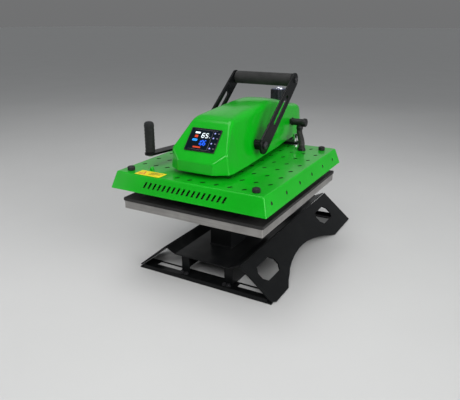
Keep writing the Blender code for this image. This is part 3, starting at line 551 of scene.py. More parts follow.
def plate(outlines, thickness, matrix, edge, steps=2):
    """A flat plate with holes.  The first outline is the outside; the plate
    lies in the matrix's XY plane and its faces are at 0 and thickness."""
    curve = bpy.data.curves.new("plate", "CURVE")
    curve.dimensions = "2D"
    curve.fill_mode = "BOTH"
    curve.extrude = thickness / 2 - edge
    curve.bevel_depth = edge
    curve.bevel_resolution = steps
    curve.offset = -edge
    for outline in outlines:
        line = curve.splines.new("POLY")
        line.points.add(len(outline) - 1)
        line.use_cyclic_u = True
        for point, (x, y) in zip(line.points, outline):
            point.co = (x, y, 0.0, 1.0)
    holder = hold(curve)
    mesh = bpy.data.meshes.new_from_object(holder)
    bpy.data.objects.remove(holder)
    bpy.data.curves.remove(curve)
    mesh.transform(matrix @ Matrix.Translation((0, 0, thickness / 2)))
    mesh.materials.clear()
    return smooth(welded(mesh, 1e-6), PLATE_CREASE)


def axes(origin, x_axis, y_axis):
    """Matrix whose X and Y run along two given directions."""
    x = Vector(x_axis).normalized()
    y = Vector(y_axis).normalized()
    turn = Matrix((x, y, x.cross(y))).transposed()
    return Matrix.Translation(Vector(origin)) @ turn.to_4x4()


def arc_slot(start, end, radius, steps=10):
    """Outline of a slot with round ends."""
    one = Vector(start)
    two = Vector(end)
    heading = math.atan2(two.y - one.y, two.x - one.x)
    points = []
    for centre, first in ((two, -0.5), (one, 0.5)):
        for k in range(steps + 1):
            angle = heading + math.pi * (first + k / steps)
            points.append((centre.x + radius * math.cos(angle), centre.y + radius * math.sin(angle)))
    return points


def ring_points(x, y, radius, count=20):
    return [(x + radius * math.cos(2 * math.pi * k / count),
             y + radius * math.sin(2 * math.pi * k / count)) for k in range(count)]


def sweep(path, segments, shape):
    """A tube along a path.  shape gives the radius at a share of the way."""
    loops = []
    side = None
    for i, point in enumerate(path):
        ahead = (path[min(i + 1, len(path) - 1)] - path[max(i - 1, 0)]).normalized()
        if side is None:
            side = ahead.orthogonal().normalized()
        side = (side - ahead * side.dot(ahead)).normalized()
        other = ahead.cross(side)
        r = shape(i / (len(path) - 1))
        loops.append([point + side * (r * math.cos(2 * math.pi * k / segments))
                      + other * (r * math.sin(2 * math.pi * k / segments))
                      for k in range(segments)])
    return loft(loops, degrees=TUBE_CREASE)


def hold(data, name="holder"):
    holder = bpy.data.objects.new(name, data)
    bpy.context.scene.collection.objects.link(holder)
    return holder


def baked(holder):
    """The holder's mesh with its modifiers applied; the holder goes."""
    bpy.context.view_layer.update()
    graph = bpy.context.evaluated_depsgraph_get()
    mesh = bpy.data.meshes.new_from_object(holder.evaluated_get(graph))
    bpy.data.objects.remove(holder)
    return mesh


def modify(holder, kind, **settings):
    """Add a modifier with its settings."""
    step = holder.modifiers.new(kind.lower(), kind)
    for key, value in settings.items():
        setattr(step, key, value)


def two_sided(mesh, index):
    """Give a sheet metal mesh the paint and the dark inside coat, which is painted shade, as materials."""
    for look in (GREEN, INSIDE_SHADE):
        mesh.materials.append(look)
    for face in mesh.polygons:
        face.material_index = index
    return mesh


def carved(mesh, *tools):
    """The sheet metal mesh less each tool.  Cut faces take the dark inside coat: painted shade in the holes."""
    holder = hold(mesh)
    cutters = [hold(two_sided(tool, 1), "tool") for tool in tools]
    for cutter in cutters:
        modify(holder, "BOOLEAN", operation="DIFFERENCE", solver="EXACT", object=cutter)
    made = baked(holder)
    for cutter in cutters:
        bpy.data.objects.remove(cutter)
    return smooth(made, SHEET_CREASE)


def rounded(mesh, width, degrees, steps):
    """Round every edge sharper than an angle."""
    holder = hold(mesh)
    modify(holder, "BEVEL", width=width, segments=steps, limit_method="ANGLE",
           angle_limit=math.radians(degrees), use_clamp_overlap=True)
    return smooth(baked(holder))


def cad_copy(node):
    """A clean copy of a frame node's shape, to be refined."""
    mesh = frame["nodes"][node].data.copy()
    mesh.materials.clear()
    with opened(mesh) as bm:
        bmesh.ops.remove_doubles(bm, verts=bm.verts, dist=2e-6)
        bmesh.ops.dissolve_limit(bm, angle_limit=math.radians(0.5), verts=bm.verts, edges=bm.edges)
    if "custom_normal" in mesh.attributes:
        mesh.attributes.remove(mesh.attributes["custom_normal"])
    return mesh


def put(name, mesh, look, nodes=(), body=None):
    """Show a mesh as a piece.  nodes are the frame nodes it stands for."""
    nodes = [nodes] if isinstance(nodes, str) else list(nodes)
    mesh.name = name
    piece = hold(mesh, name)
    if not mesh.materials:
        for one in look if isinstance(look, list) else [look]:
            mesh.materials.append(one)
    modify(piece, "WEIGHTED_NORMAL", keep_sharp=True)
    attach(piece, body or BODY_OF[nodes[0]])
    if nodes:
        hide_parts(*nodes)
    return piece


def refine(node, look, width=0.0006, degrees=30.0, steps=2):
    """Show a frame node with its edges rounded."""
    return put(node + "_finished", rounded(cad_copy(node), width, degrees, steps), look, node)


def middle_of(node):
    """The middle of a frame node's box."""
    low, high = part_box(node)
    return (low + high) / 2


def over(node, height=0.0, direction=(0, 0, 1)):
    """Matrix at a height on the upright line through a node's middle."""
    middle = middle_of(node)
    return stand((middle.x, middle.y, height), direction)


def spun(node, place, inner, outer, segments, edge, along="z"):
    """A tube or rod as long as a node's box."""
    low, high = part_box(node)
    return tube(place, inner, outer, getattr(low, along), getattr(high, along), segments, edge)


# ---- screws and welds ----------------------------------------------------
BEAD_LIFT = 0.0006          # height of a weld bead's middle over its sheet
BEAD_STEP = 0.0009


def screw_head(matrix, radius, height, key, dome, segments=48):
    """A round head with a hexagon socket."""
    top = height + dome
    socket = hexagon(key)
    return stack([(radius, 0.0), (radius, height * 0.85), (radius * 0.96, height),
                  (key * 1.25, top), (socket, top), (socket, top - height * 0.55)], matrix,
                 segments, NUT_CREASE)


def hex_nut(matrix, reach, height, bore=0.0):
    """A hexagon nut or head, its corners turned down."""
    shape = hexagon(reach)

    def worn(angle):
        return min(shape(angle), reach - reach * 0.10)
    sections = [(worn, 0.0), (shape, height * 0.10), (shape, height * 0.88), (worn, height),
                (reach * math.cos(math.pi / 6) * 0.92, height)]
    if bore:
        sections += [(bore, height), (bore, height * 0.6)]
    return stack(sections, matrix, 48, NUT_CREASE)


def bolt_head(place, washer, thick, reach, top):
    """A washer and the hexagon head on it."""
    return [tube(place, 0, washer, 0, thick, 40, 0.0002),
            hex_nut(raised(place, thick), reach, top - thick)]


def weld_bead(name, outline, height, radius):
    """A rippled fillet of weld metal under paint, round an outline."""
    spots = [Vector((x, y, height + BEAD_LIFT)) for x, y in outline]
    points = []
    for one, two in zip(spots, spots[1:] + spots[:1]):
        steps = max(2, int((two - one).length / BEAD_STEP))
        points += [one.lerp(two, k / steps) for k in range(steps)]
    points.append(points[0])

    def ripple(share):
        return radius * (1.0 + 0.14 * math.sin(share * len(points) * 1.9))
    put(name, sweep(points, 8, ripple), BLACK, body="base")


# ---- base ----------------------------------------------------------------
def build_base():
    refine("base_top_sheet", BLACK, 0.0012, 20.0, 3)
    for side in ("left", "right"):
        refine("base_side_panel_" + side, BLACK, 0.0007)
        refine("base_inner_wall_" + side, BLACK)
    for side in ("front", "back"):
        refine("base_cross_plate_" + side, BLACK)
    for number in (1, 2, 3, 4):
        node = "base_bolt_%d" % number
        low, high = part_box(node)
        radius = (high.x - low.x) / 2
        meshes = bolt_head(over(node, low.z), radius, 0.0008, radius * 0.86, high.z - low.z)
        put(node + "_head", joined(*meshes), BLACK_BOLT, node)
    low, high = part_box("pedestal")
    weld_bead("pedestal_weld", corners(low.x, low.y, high.x, high.y), low.z, 0.0022)
    refine("pedestal", BLACK, 0.0015)
    refine("platen_support_frame", BLACK, 0.0008)


def build_lower_platen():
    low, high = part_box("lower_platen")
    put("lower_platen_casting", slab(low, high, 0.0012, 0.003), CAST_SIDE, "lower_platen")
    low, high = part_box("silicone_pad")
    pad = put("silicone_pad_sheet", slab(low, high, 0.0016, 0.004), SILICONE, "silicone_pad")


# ---- post ----------------------------------------------------------------
POST_RADIUS = 0.025
POST_BORE = 0.0256          # radius of the holes round the post
HUB_RADIUS = 0.036
THRUST_RADIUS = 0.032
FLANGE_THICKNESS = 0.008
FLANGE_BOLT_REACH = 0.052


def build_post():
    low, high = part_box("post_flange")
    middle = middle_of("post_flange")
    top = low.z + FLANGE_THICKNESS
    meshes = [slab(low, (high.x, high.y, top), 0.0008, 0.004)]
    for x in (-FLANGE_BOLT_REACH, FLANGE_BOLT_REACH):
        for y in (-FLANGE_BOLT_REACH, FLANGE_BOLT_REACH):
            place = stand((middle.x + x, middle.y + y, top))
            meshes += bolt_head(place, 0.0085, 0.0012, 0.0078, high.z - top)
    put("post_flange_plate", joined(*meshes), BLACK, "post_flange")
    low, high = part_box("swing_column")
    radius = (high.x - low.x) / 2
    place = stand((POST.x, POST.y, 0))
    put("swing_column_tube", spun("swing_column", place, POST_BORE, radius, 96, 0.0015), BLACK,
        "swing_column")
    weld_bead("column_weld", ring_points(POST.x, POST.y, radius, 48), low.z, 0.0026)
    low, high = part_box("swing_post")
    rod = [(0, low.z), (POST_RADIUS, low.z), (POST_RADIUS, high.z), (0.004, high.z),
           (0, high.z - 0.003)]
    put("swing_post_rod", turned(rod, place, 96, 0.0015), CHROME, "swing_post")
    put("thrust_collar_ring", spun("thrust_collar", place, POST_BORE, THRUST_RADIUS, 96, 0.0010),
        STEEL, "thrust_collar")


# ---- swinging arm --------------------------------------------------------
NOSE_FOLDS = 3              # stations 0 to 3 stay flat between rounded folds
FOLD_REACH = 0.0080
FOLD_SHARE = 0.45           # most of a flat that one fold may use
NOSE_LIP = 0.004
HEM_POINTS = 4              # points of a section's side, corner and top
ARC_POINTS = 9
TOP_POINTS = 6
SHAFT_HOLE = 0.0140
SCREW_HOLE = 0.0075
FITTING_HOLE = 0.0085
FITTING_RADIUS = 0.0130


def lever_axis(side=1):
    """Matrix with Z along the lever's shaft, towards one side."""
    return stand((0, LEVER.y, LEVER.z), (side, 0, 0))


def fitting_axis():
    """Where the conduit fitting's axis meets the middle of the arm."""
    low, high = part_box("conduit_fitting")
    return Vector((0, (low.y + high.y) / 2, high.z - FITTING_RADIUS))


def folded(before, here, after):
    """Stations that round the fold at one of them."""
    ends = []
    for other in (before, after):
        share = min(FOLD_SHARE, FOLD_REACH / math.dist(here, other))
        ends.append([a + (b - a) * share for a, b in zip(here, other)])
    return [tuple(bent(a, b, c, t) for a, b, c in zip(ends[0], here, ends[1]))
            for t in (0.0, 0.2, 0.4, 0.6, 0.8, 1.0)]


def hood_rows():
    """The nose's folds, then smooth stations behind them."""
    first = HOOD_STATIONS[0]
    lip = (first[0], *[v - NOSE_LIP for v in first[1:4]], 0.0, first[5])
    rows = [lip]
    for i in range(NOSE_FOLDS):
        before = HOOD_STATIONS[i - 1] if i else lip
        rows += folded(before, HOOD_STATIONS[i], HOOD_STATIONS[i + 1])
    last = len(HOOD_STATIONS) - 1
    for i in range(NOSE_FOLDS, last):
        near = [HOOD_STATIONS[min(j, last)] for j in range(i - 1, i + 3)]
        for t in (0.0, 0.2, 0.4, 0.6, 0.8):
            rows.append(tuple(
                0.5 * (2 * b + (c - a) * t + (2 * a - 5 * b + 4 * c - d) * t * t
                       + (3 * b - a - 3 * c + d) * t ** 3) for a, b, c, d in zip(*near)))
    rows.append(HOOD_STATIONS[last])
    return rows


def hood_section(row):
    """A hood section from the right hem over the top to the left hem."""
    behind, hem, shoulder, height, crown, radius = row
    y = POST.y + behind
    lean = (hem - shoulder) / (height - HOOD_HEM)
    down = height - radius
    across = shoulder - radius
    wide = shoulder + lean * radius
    top = height + crown * (1.0 - (across / shoulder) ** 2)
    half = [(hem + (wide - hem) * k / HEM_POINTS, HOOD_HEM + (down - HOOD_HEM) * k / HEM_POINTS)
            for k in range(HEM_POINTS)]
    for k in range(ARC_POINTS + 1):
        t = k / ARC_POINTS
        half.append((bent(wide, shoulder, across, t), bent(down, height, top, t)))
    for k in range(1, TOP_POINTS):
        x = across * (1 - k / TOP_POINTS)
        half.append((x, height + crown * (1.0 - (x / shoulder) ** 2)))
    right = [Vector((x, y, z)) for x, z in half]
    left = [Vector((-x, y, z)) for x, z in reversed(half)]
    return right + [Vector((0.0, y, height + crown))] + left


def hood_mesh():
    mesh = loft([hood_section(row) for row in hood_rows()], shut=False)
    holder = hold(two_sided(mesh, 0))
    # The inside face takes the dark coat: painted shade under the hood.
    modify(holder, "SOLIDIFY", thickness=HOOD_SHEET, offset=-1.0, material_offset=1)
    return baked(holder)


def build_hood():
    shaft = lever_axis()
    inlet_low, inlet_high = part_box("power_inlet")
    bar_low, bar_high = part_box("swing_handle_bar")
    tools = [
        tube(shaft, 0, SHAFT_HOLE, -0.12, 0.12, 48, SHARP),
        tube(over("pressure_screw"), 0, SCREW_HOLE, 0.40, 0.47, 40, SHARP),
        tube(stand(fitting_axis(), (1, 0, 0)), 0, FITTING_HOLE, 0.040, 0.080, 40, SHARP),
        slab((-0.075, inlet_low.y + 0.0055, inlet_low.z + 0.003),
             (-0.040, inlet_high.y - 0.0055, inlet_high.z - 0.003), SHARP),
        slab((-0.085, POST.y - 0.2615, bar_low.z - 0.0012),
             (-0.050, POST.y - 0.2285, bar_high.z + 0.0012), SHARP),
    ]
    put("hood_shell", carved(hood_mesh(), *tools), GREEN, "arm_cover")


def build_collars():
    """Dark collars round the lever's shaft, between the hood and the arms."""
    end = min(-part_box("lever_arm_left")[1].x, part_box("lever_arm_right")[0].x) - 0.0006
    bore, neck, rim = 0.0120, 0.0134, 0.0150
    start = 0.0640
    profile = [(bore, start), (neck, start), (neck, end - 0.0050), (rim, end - 0.0034),
               (rim, end), (bore, end)]
    for side, name in SIDES:
        put("lever_collar_" + name, turned(profile, lever_axis(side), 72, 0.0010), LEVER_BLACK,
            body="swing_arm")


def build_arm():
    put("arm_hub_boss", spun("arm_hub", stand((POST.x, POST.y, 0)), POST_BORE, HUB_RADIUS, 96,
                             0.0010), BLACK, "arm_hub")
    refine("arm_beam", BLACK, 0.0007, 35.0, 1)
    refine("guide_crossbar", BLACK, 0.0008)
    build_hood()
    build_collars()


# ---- display -------------------------------------------------------------
SCREEN_HALF = 0.0430        # half width, then both ends up the sloping face
SCREEN_LOW = 0.0285
SCREEN_HIGH = 0.0935
SCREEN_WIDTH = 2 * SCREEN_HALF
SCREEN_HEIGHT = SCREEN_HIGH - SCREEN_LOW
KEY_ROWS = (0.822, 0.615, 0.385, 0.179)
DIGIT_LEAN = 0.10
SEGMENTS = {"0": "abcdef", "1": "bc", "5": "acdfg", "6": "acdefg"}


def display_place():
    """Matrix of the display's face: X to the right, Y up the slope."""
    y0, z0 = POST.y + HOOD_STATIONS[0][0], HOOD_STATIONS[0][3]
    y1, z1 = POST.y + HOOD_STATIONS[3][0], HOOD_STATIONS[3][3]
    return axes((0, y0, z0), (1, 0, 0), (0, y1 - y0, z1 - z0))


def screen_outline(inset, corner):
    return panel(-SCREEN_HALF + inset, SCREEN_LOW + inset, SCREEN_HALF - inset,
                 SCREEN_HIGH - inset, corner, 5)


def build_display():
    place = display_place()
    face = raised(place, 0.0003)
    outside = screen_outline(0.0, 0.003)
    rim = plate([outside, screen_outline(0.0022, 0.002)], 0.0023, face, 0.0005)
    back = plate([outside], 0.0010, face, 0.0002)
    put("display_frame", joined(rim, back), PLASTIC, "display_bezel")
    glass = plate([screen_outline(0.0026, 0.002)], 0.0013, raised(place, 0.0015), 0.0003)
    put("display_panel", glass, GLASS, "display_glass")
    build_screen(place @ Matrix.Translation((0, SCREEN_LOW, 0.00282)))


def digit_bars(sign, left, low, width, height, thick):
    """Outlines of a seven-bar digit, slightly leaning."""
    right = left + width
    top = low + height
    mid = low + height / 2
    t = thick / 2
    bars = {"a": (left, top, right, top), "b": (right, mid, right, top),
            "c": (right, low, right, mid), "d": (left, low, right, low),
            "e": (left, low, left, mid), "f": (left, mid, left, top), "g": (left, mid, right, mid)}
    outlines = []
    for key in SEGMENTS[sign]:
        x0, y0, x1, y1 = bars[key]
        if x0 == x1:
            outline = [(x0 - t, y0 + t), (x0, y0 + 0.3 * t), (x0 + t, y0 + t),
                       (x0 + t, y1 - t), (x0, y1 - 0.3 * t), (x0 - t, y1 - t)]
        else:
            outline = [(x0 + t, y0 - t), (x1 - t, y0 - t), (x1 - 0.3 * t, y0),
                       (x1 - t, y0 + t), (x0 + t, y0 + t), (x0 + 0.3 * t, y0)]
        outlines.append([(x + DIGIT_LEAN * (y - low), y) for x, y in outline])
    return outlines


def flat_shapes(outlines, matrix):
    """Thin raised shapes on the matrix's XY plane."""
    return joined(*[prism(outline, 0.0, SHARP, lambda x, y, z: matrix @ Vector((x, y, z)))
                    for outline in outlines])


def bar(u, v, w, h, corner=0.0008):
    """A bar on the screen: middle and size as shares of the screen's."""
    x = (u - 0.5) * SCREEN_WIDTH
    y = v * SCREEN_HEIGHT
    dx = w * SCREEN_WIDTH / 2
    dy = h * SCREEN_HEIGHT / 2
    return panel(x - dx, y - dy, x + dx, y + dy, corner)


def digits(text, u, v, w, h, thick):
    """A row of digits on the screen, placed as a bar is."""
    step = w * SCREEN_WIDTH / len(text)
    made = []
    for k, sign in enumerate(text):
        left = (u - w / 2 - 0.5) * SCREEN_WIDTH + k * step
        made += digit_bars(sign, left, (v - h / 2) * SCREEN_HEIGHT, step * 0.66,
                           h * SCREEN_HEIGHT, thick)
    return made


def build_screen(place):
    """Lit shapes: plain bars, two rows of digits and the touch keys."""
    white = lit("lit_white", (0.85, 0.95, 1.0), 0.85)
    sky = lit("lit_light_blue", (0.02, 0.30, 1.0), 0.8)
    blue = lit("lit_blue", (0.010, 0.10, 0.80), 1.0)
    red = lit("lit_red", (0.70, 0.060, 0.015), 0.55)
    key = lit("lit_key", (0.34, 0.36, 0.80), 0.8)
    faint = printed("key_marks", (0.16, 0.14, 0.15))
    dots = [ring_points((0.815 - 0.5) * SCREEN_WIDTH, v * SCREEN_HEIGHT, 0.0021) for v in KEY_ROWS]
    marks = [bar(0.935, v, 0.050, 0.035) for v in KEY_ROWS]
    marks += [bar(0.5, v, 0.76, 0.006, 0.0001) for v in (0.925, 0.075)]
    marks.append(bar(0.745, 0.5, 0.006, 0.80, 0.0001))
    groups = (
        ("screen_white", white, [bar(0.255, 0.787, 0.165, 0.075)]
         + digits("65", 0.535, 0.690, 0.24, 0.18, 0.0021) + [bar(0.685, 0.615, 0.022, 0.028)]),
        ("screen_red", red, [bar(0.249, 0.630, 0.105, 0.105), bar(0.385, 0.172, 0.250, 0.062)]),
        ("screen_light_blue", sky, [bar(0.240, 0.468, 0.165, 0.095, 0.0025)]),
        ("screen_blue", blue, digits("106", 0.510, 0.375, 0.27, 0.20, 0.0026)),
        ("screen_touch_keys", key, dots),
        ("screen_marks", faint, marks),
    )
    for name, look, outlines in groups:
        put(name, flat_shapes(outlines, place), look, body="swing_arm")


# ---- lever ---------------------------------------------------------------
LEVER_EYE = 0.024           # radius of a lever arm's end at the shaft
LEVER_TIP = 0.020           # and at the grip
LEVER_SLOT = (0.078, 0.172, 0.0075)     # start, end and radius, from the shaft
GRIP_RADIUS = 0.0185
GRIP_BORE = 0.0104
GRIP_LINES = 60


def lever_outline(reach):
    """A lever arm's outline: round ends and the straight lines between."""
    lean = math.pi / 2 - math.asin((LEVER_EYE - LEVER_TIP) / reach)
    outline = []
    for centre, radius, start, turn in ((0.0, LEVER_EYE, lean, 2 * math.pi - 2 * lean),
                                        (reach, LEVER_TIP, -lean, 2 * lean)):
        for k in range(25):
            angle = start + turn * k / 24
            outline.append((centre + radius * math.cos(angle), radius * math.sin(angle)))
    return outline


def build_lever():
    grip_low, grip_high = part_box("lever_grip")
    grip = middle_of("lever_grip")
    along = Vector((0, grip.y - LEVER.y, grip.z - LEVER.z)).normalized()
    start, end, radius = LEVER_SLOT
    outlines = [lever_outline(math.hypot(grip.y - LEVER.y, grip.z - LEVER.z)),
                arc_slot((start, 0.0), (end, 0.0), radius)]
    for side, name in SIDES:
        low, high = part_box("lever_arm_" + name)
        across = Vector((side, 0, 0)).cross(along)
        face = axes((low.x if side > 0 else high.x, LEVER.y, LEVER.z), along, across)
        put("lever_side_" + name, plate(outlines, high.x - low.x, face, 0.0012, 3), LEVER_BLACK,
            "lever_arm_" + name)
        for tag, key in (("pivot", 0.0034), ("grip", 0.0028)):
            node = "lever_%s_bolt_%s" % (tag, name)
            low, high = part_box(node)
            middle = middle_of(node)
            place = stand((low.x if side > 0 else high.x, middle.y, middle.z), (side, 0, 0))
            put("lever_%s_screw_%s" % (tag, name),
                screw_head(place, (high.y - low.y) / 2, 0.0036, key, 0.0019), BLACK_BOLT, node)
    put("lever_shaft_turned", spun("lever_shaft", lever_axis(), 0, 0.011, 64, 0.0008, "x"), STEEL,
        "lever_shaft")
    bar_axis = stand((0, grip.y, grip.z), (1, 0, 0))
    put("lever_crossbar_turned", spun("lever_crossbar", bar_axis, 0, 0.010, 48, 0.0008, "x"),
        STEEL, "lever_crossbar")
    build_grip(bar_axis, grip_low.x, grip_high.x)
    refine("lever_cam", STEEL, 0.0008)


def build_grip(axis, low, high):
    """A foam sleeve with rounded ends and mould lines."""
    end = GRIP_RADIUS - 0.0035
    profile = [(GRIP_BORE, low), (end, low)]
    for k in range(GRIP_LINES + 1):
        t = k / GRIP_LINES
        swell = 0.0003 * math.cos(2 * math.pi * t * 3)
        profile.append((GRIP_RADIUS - 0.0003 - abs(swell) * (k % 2) * 0.3,
                        low + 0.0030 + (high - low - 0.0060) * t))
    profile += [(end, high), (GRIP_BORE, high)]
    put("lever_grip_sleeve", turned(profile, axis, 72, 0.0012, RIB_CREASE), RUBBER, "lever_grip")


# ---- heating head --------------------------------------------------------
COVER_LEAN = 0.5 * (0.4392 - 0.4137)    # how far each wall leans in
COVER_BEND = 0.0035
SLOT_FIRST = (0.1825, 0.03765)          # first vent slot, from the cover's front
SLOT_STEP = (-0.0367, 0.0609)
SLOT_ROWS = 8
SLOT_COLUMNS = 11
SLOT_TURN = math.radians(60.0)
SLOT_RUN = 0.0034           # half of a slot's straight part
SLOT_RADIUS = 0.0034
SLOT_CLEAR = 0.023          # no slot nearer to a knob or rod than this
ARM_HOLE = (0.025, 0.031)   # half width and half depth of the hole under the arm
TOP_CUT = (0.292, 0.312)
SIDE_HOLES = 6
SIDE_HOLE_FIRST = 0.0406
SIDE_HOLE_STEP = 0.0845
SIDE_HOLE_HEIGHT = 0.2810
SIDE_HOLE_RADIUS = 0.0045
VENT_COUNT = 17
VENT_PITCH = 0.0140
VENT_FOOT = 0.2735
VENT_HEAD = 0.2885


def build_heating_platen():
    low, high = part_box("heating_platen")
    mesh = slab(low, high, 0.0012, 0.003)
    piece = put("heating_platen_casting", mesh, [HOT_SIDE, COATED], "heating_platen")
    for face in piece.data.polygons:
        face.material_index = 1 if face.normal.z < -0.7 else 0
    refine("insulation_board", BOARD)
    refine("pressure_block", HOT_SIDE, 0.0010)


def cover_frustum():
    low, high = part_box("platen_cover")
    lean = COVER_LEAN
    verts = [(x, y, low.z) for x, y in corners(low.x, low.y, high.x, high.y)]
    verts += [(x, y, high.z) for x, y in corners(low.x + lean, low.y + lean, high.x - lean,
                                                 high.y - lean)]
    faces = [(0, 1, 5, 4), (1, 2, 6, 5), (2, 3, 7, 6), (3, 0, 4, 7), (4, 5, 6, 7)]
    mesh = bpy.data.meshes.new("cover")
    mesh.from_pydata(verts, [], faces)
    holder = hold(two_sided(mesh, 0))
    modify(holder, "BEVEL", width=COVER_BEND, segments=5, limit_method="ANGLE",
           angle_limit=math.radians(30.0))
    # The inside face takes the dark coat: painted shade inside the cover.
    modify(holder, "SOLIDIFY", thickness=COVER_SHEET, offset=-1.0, use_even_offset=True,
           material_offset=1)
    return baked(holder)


def top_holes(front):
    """Cutters for the vent slots, the arm's hole and the knobs' holes."""
    first = Vector((SLOT_FIRST[0], front + SLOT_FIRST[1]))
    run = Vector((math.cos(SLOT_TURN), math.sin(SLOT_TURN))) * SLOT_RUN
    knobs = [middle_of(node) for node in COVER_KNOBS]
    fittings = [middle_of(node) for node in ("guide_rod_left", "guide_rod_right", "conduit_gland")]
    label_low, label_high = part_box("cover_label")
    outlines = []
    for row in range(SLOT_ROWS):
        for column in range(SLOT_COLUMNS):
            spot = first + Vector((SLOT_STEP[0] * column, SLOT_STEP[1] * row))
            near = any(math.hypot(spot.x - k.x, spot.y - k.y) < SLOT_CLEAR
                       for k in knobs + fittings)
            under = (label_low.x - 0.014 < spot.x < label_high.x + 0.010
                     and spot.y < label_high.y + 0.011)
            block = abs(spot.x) < 0.05 and abs(spot.y - LEVER.y) < 0.045
            if not (near or under or block):
                outlines.append(arc_slot(spot - run, spot + run, SLOT_RADIUS, 6))
    wide, deep = ARM_HOLE
    outlines.append(panel(-wide, LEVER.y - deep, wide, LEVER.y + deep, 0.003, 4))
    outlines += [ring_points(k.x, k.y, 0.004) for k in knobs]
    return joined(*[prism(outline, *TOP_CUT) for outline in outlines])


def side_holes(front):
    """Cutters for the round holes that run through both side walls."""
    return joined(*[prism(ring_points(front + SIDE_HOLE_FIRST + SIDE_HOLE_STEP * k,
                                      SIDE_HOLE_HEIGHT, SIDE_HOLE_RADIUS), -0.23, 0.23,
                          lambda y, z, x: (x, y, z)) for k in range(SIDE_HOLES)])


def front_vents(front):
    """Cutters for the slanted slits in the front skirt."""
    vents = []
    for k in range(VENT_COUNT):
        x = (k - (VENT_COUNT - 1) / 2) * VENT_PITCH
        outline = soften([(x - 0.0065, VENT_FOOT), (x - 0.0010, VENT_FOOT), (x + 0.0065, VENT_HEAD),
                          (x + 0.0010, VENT_HEAD)], 0.0012, 3, True)
        vents.append(prism(outline, front - 0.01, front + 0.03, lambda x, z, y: (x, y, z)))
    return joined(*vents)


def build_cover():
    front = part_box("platen_cover")[0].y
    mesh = carved(cover_frustum(), top_holes(front), side_holes(front), front_vents(front))
    put("platen_cover_sheet", mesh, GREEN, "platen_cover")


def build_cover_knob(node):
    """A low black knob with a ribbed rim on its screw."""
    low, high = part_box(node)
    radius = (high.x - low.x) / 2
    top = high.z
    foot = top - 0.0105

    def ribbed(angle):
        return radius - 0.0006 * (0.5 + 0.5 * math.cos(24 * angle))
    knob = stack([(0.003, low.z), (0.003, foot), (radius - 0.0012, foot), (ribbed, foot + 0.0008),
                  (ribbed, top - 0.0022), (radius - 0.0016, top - 0.0006), (radius * 0.62, top),
                  (radius * 0.55, top - 0.0005)], over(node), 144, RIB_CREASE)
    put(node + "_knurled", knob, PLASTIC, node)


def build_cover_fittings():
    for node in COVER_KNOBS:
        build_cover_knob(node)
    low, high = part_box("cover_dome_nut")
    place = over("cover_dome_nut", low.z)
    dome = [(0.0050, 0.0030)]
    dome += [(0.0050 * math.cos(a), 0.0034 + 0.0048 * math.sin(a))
             for a in (0.0, 0.35, 0.7, 1.05, 1.35, 1.5)]
    dome.append((0.0, high.z - low.z))
    put("cover_dome_nut_cap", joined(hex_nut(place, 0.0064, 0.0034),
                                     turned(dome, place, 40, 0.0002)), GREEN, "cover_dome_nut")
    build_label()
    for node in ("guide_rod_left", "guide_rod_right"):
        place = over(node)
        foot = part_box(node)[0].z
        washer = tube(place, 0, 0.0125, foot, foot + 0.0028, 48, 0.0005)
        put(node + "_polished", joined(washer, spun(node, place, 0, 0.006, 64, 0.0009)), CHROME,
            node)


def build_label():
    low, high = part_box("cover_label")
    film = slab(low, (high.x, high.y, high.z - SHARP), SHARP, 0.002)
    put("cover_label_film", film, YELLOW, "cover_label")
    place = Matrix.Translation((low.x, low.y, high.z - SHARP))
    width = high.x - low.x
    depth = high.y - low.y
    bars = []
    for k, share in enumerate((0.92, 0.84, 0.90, 0.70)):
        y = depth * (0.76 - 0.155 * k)
        bars.append(panel(width * 0.46, y, width * share, y + depth * 0.055, 0.0004, 2))
    put("cover_label_bars", flat_shapes(bars, place), INK, body="heat_head")
    triangles = []
    for left, right, foot, tip, corner in ((0.08, 0.36, 0.20, 0.84, 0.0016),
                                           (0.135, 0.305, 0.29, 0.67, 0.0010)):
        triangles.append(soften([(width * left, depth * foot), (width * right, depth * foot),
                                 (width * 0.22, depth * tip)], corner, 4, True))
    put("cover_label_mark", plate(triangles, 0.0002, place, 0.00004, 1), RED_INK,
        body="heat_head")


# ---- conduit -------------------------------------------------------------
CONDUIT_RADIUS = 0.0090
CONDUIT_LEAD = 0.006        # straight part at each end
RIB_DEPTH = 0.0011
RIB_POINTS = 6.0            # path points to a rib
PATH_STEP = 0.00055
ROUTE_STEPS = 32


def conduit_route():
    """The same hanging run as the frame's conduit."""
    low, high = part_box("power_conduit")
    gland = middle_of("conduit_gland")
    lead = Vector((0.0, 0.0, CONDUIT_LEAD))
    first = Vector((low.x + CONDUIT_RADIUS, fitting_axis().y, high.z))
    last = Vector((gland.x, gland.y, low.z))
    a = first - lead
    d = last + lead
    b = a - 2 * lead
    c = d + 3 * lead
    route = [first]
    for i in range(ROUTE_STEPS + 1):
        t = i / ROUTE_STEPS
        s = 1.0 - t
        route.append(a * s ** 3 + b * 3 * s * s * t + c * 3 * s * t * t + d * t ** 3)
    return route + [last]


def even_path(points, spacing):
    """Points a fixed distance apart along a line of points."""
    lengths = [0.0]
    for one, two in zip(points, points[1:]):
        lengths.append(lengths[-1] + (two - one).length)
    count = max(2, round(lengths[-1] / spacing))
    made = []
    for k in range(count + 1):
        goal = lengths[-1] * k / count
        i = max(0, min(len(points) - 2, sum(1 for v in lengths[1:] if v < goal)))
        share = (goal - lengths[i]) / max(lengths[i + 1] - lengths[i], 1e-9)
        made.append(points[i].lerp(points[i + 1], share))
    return made


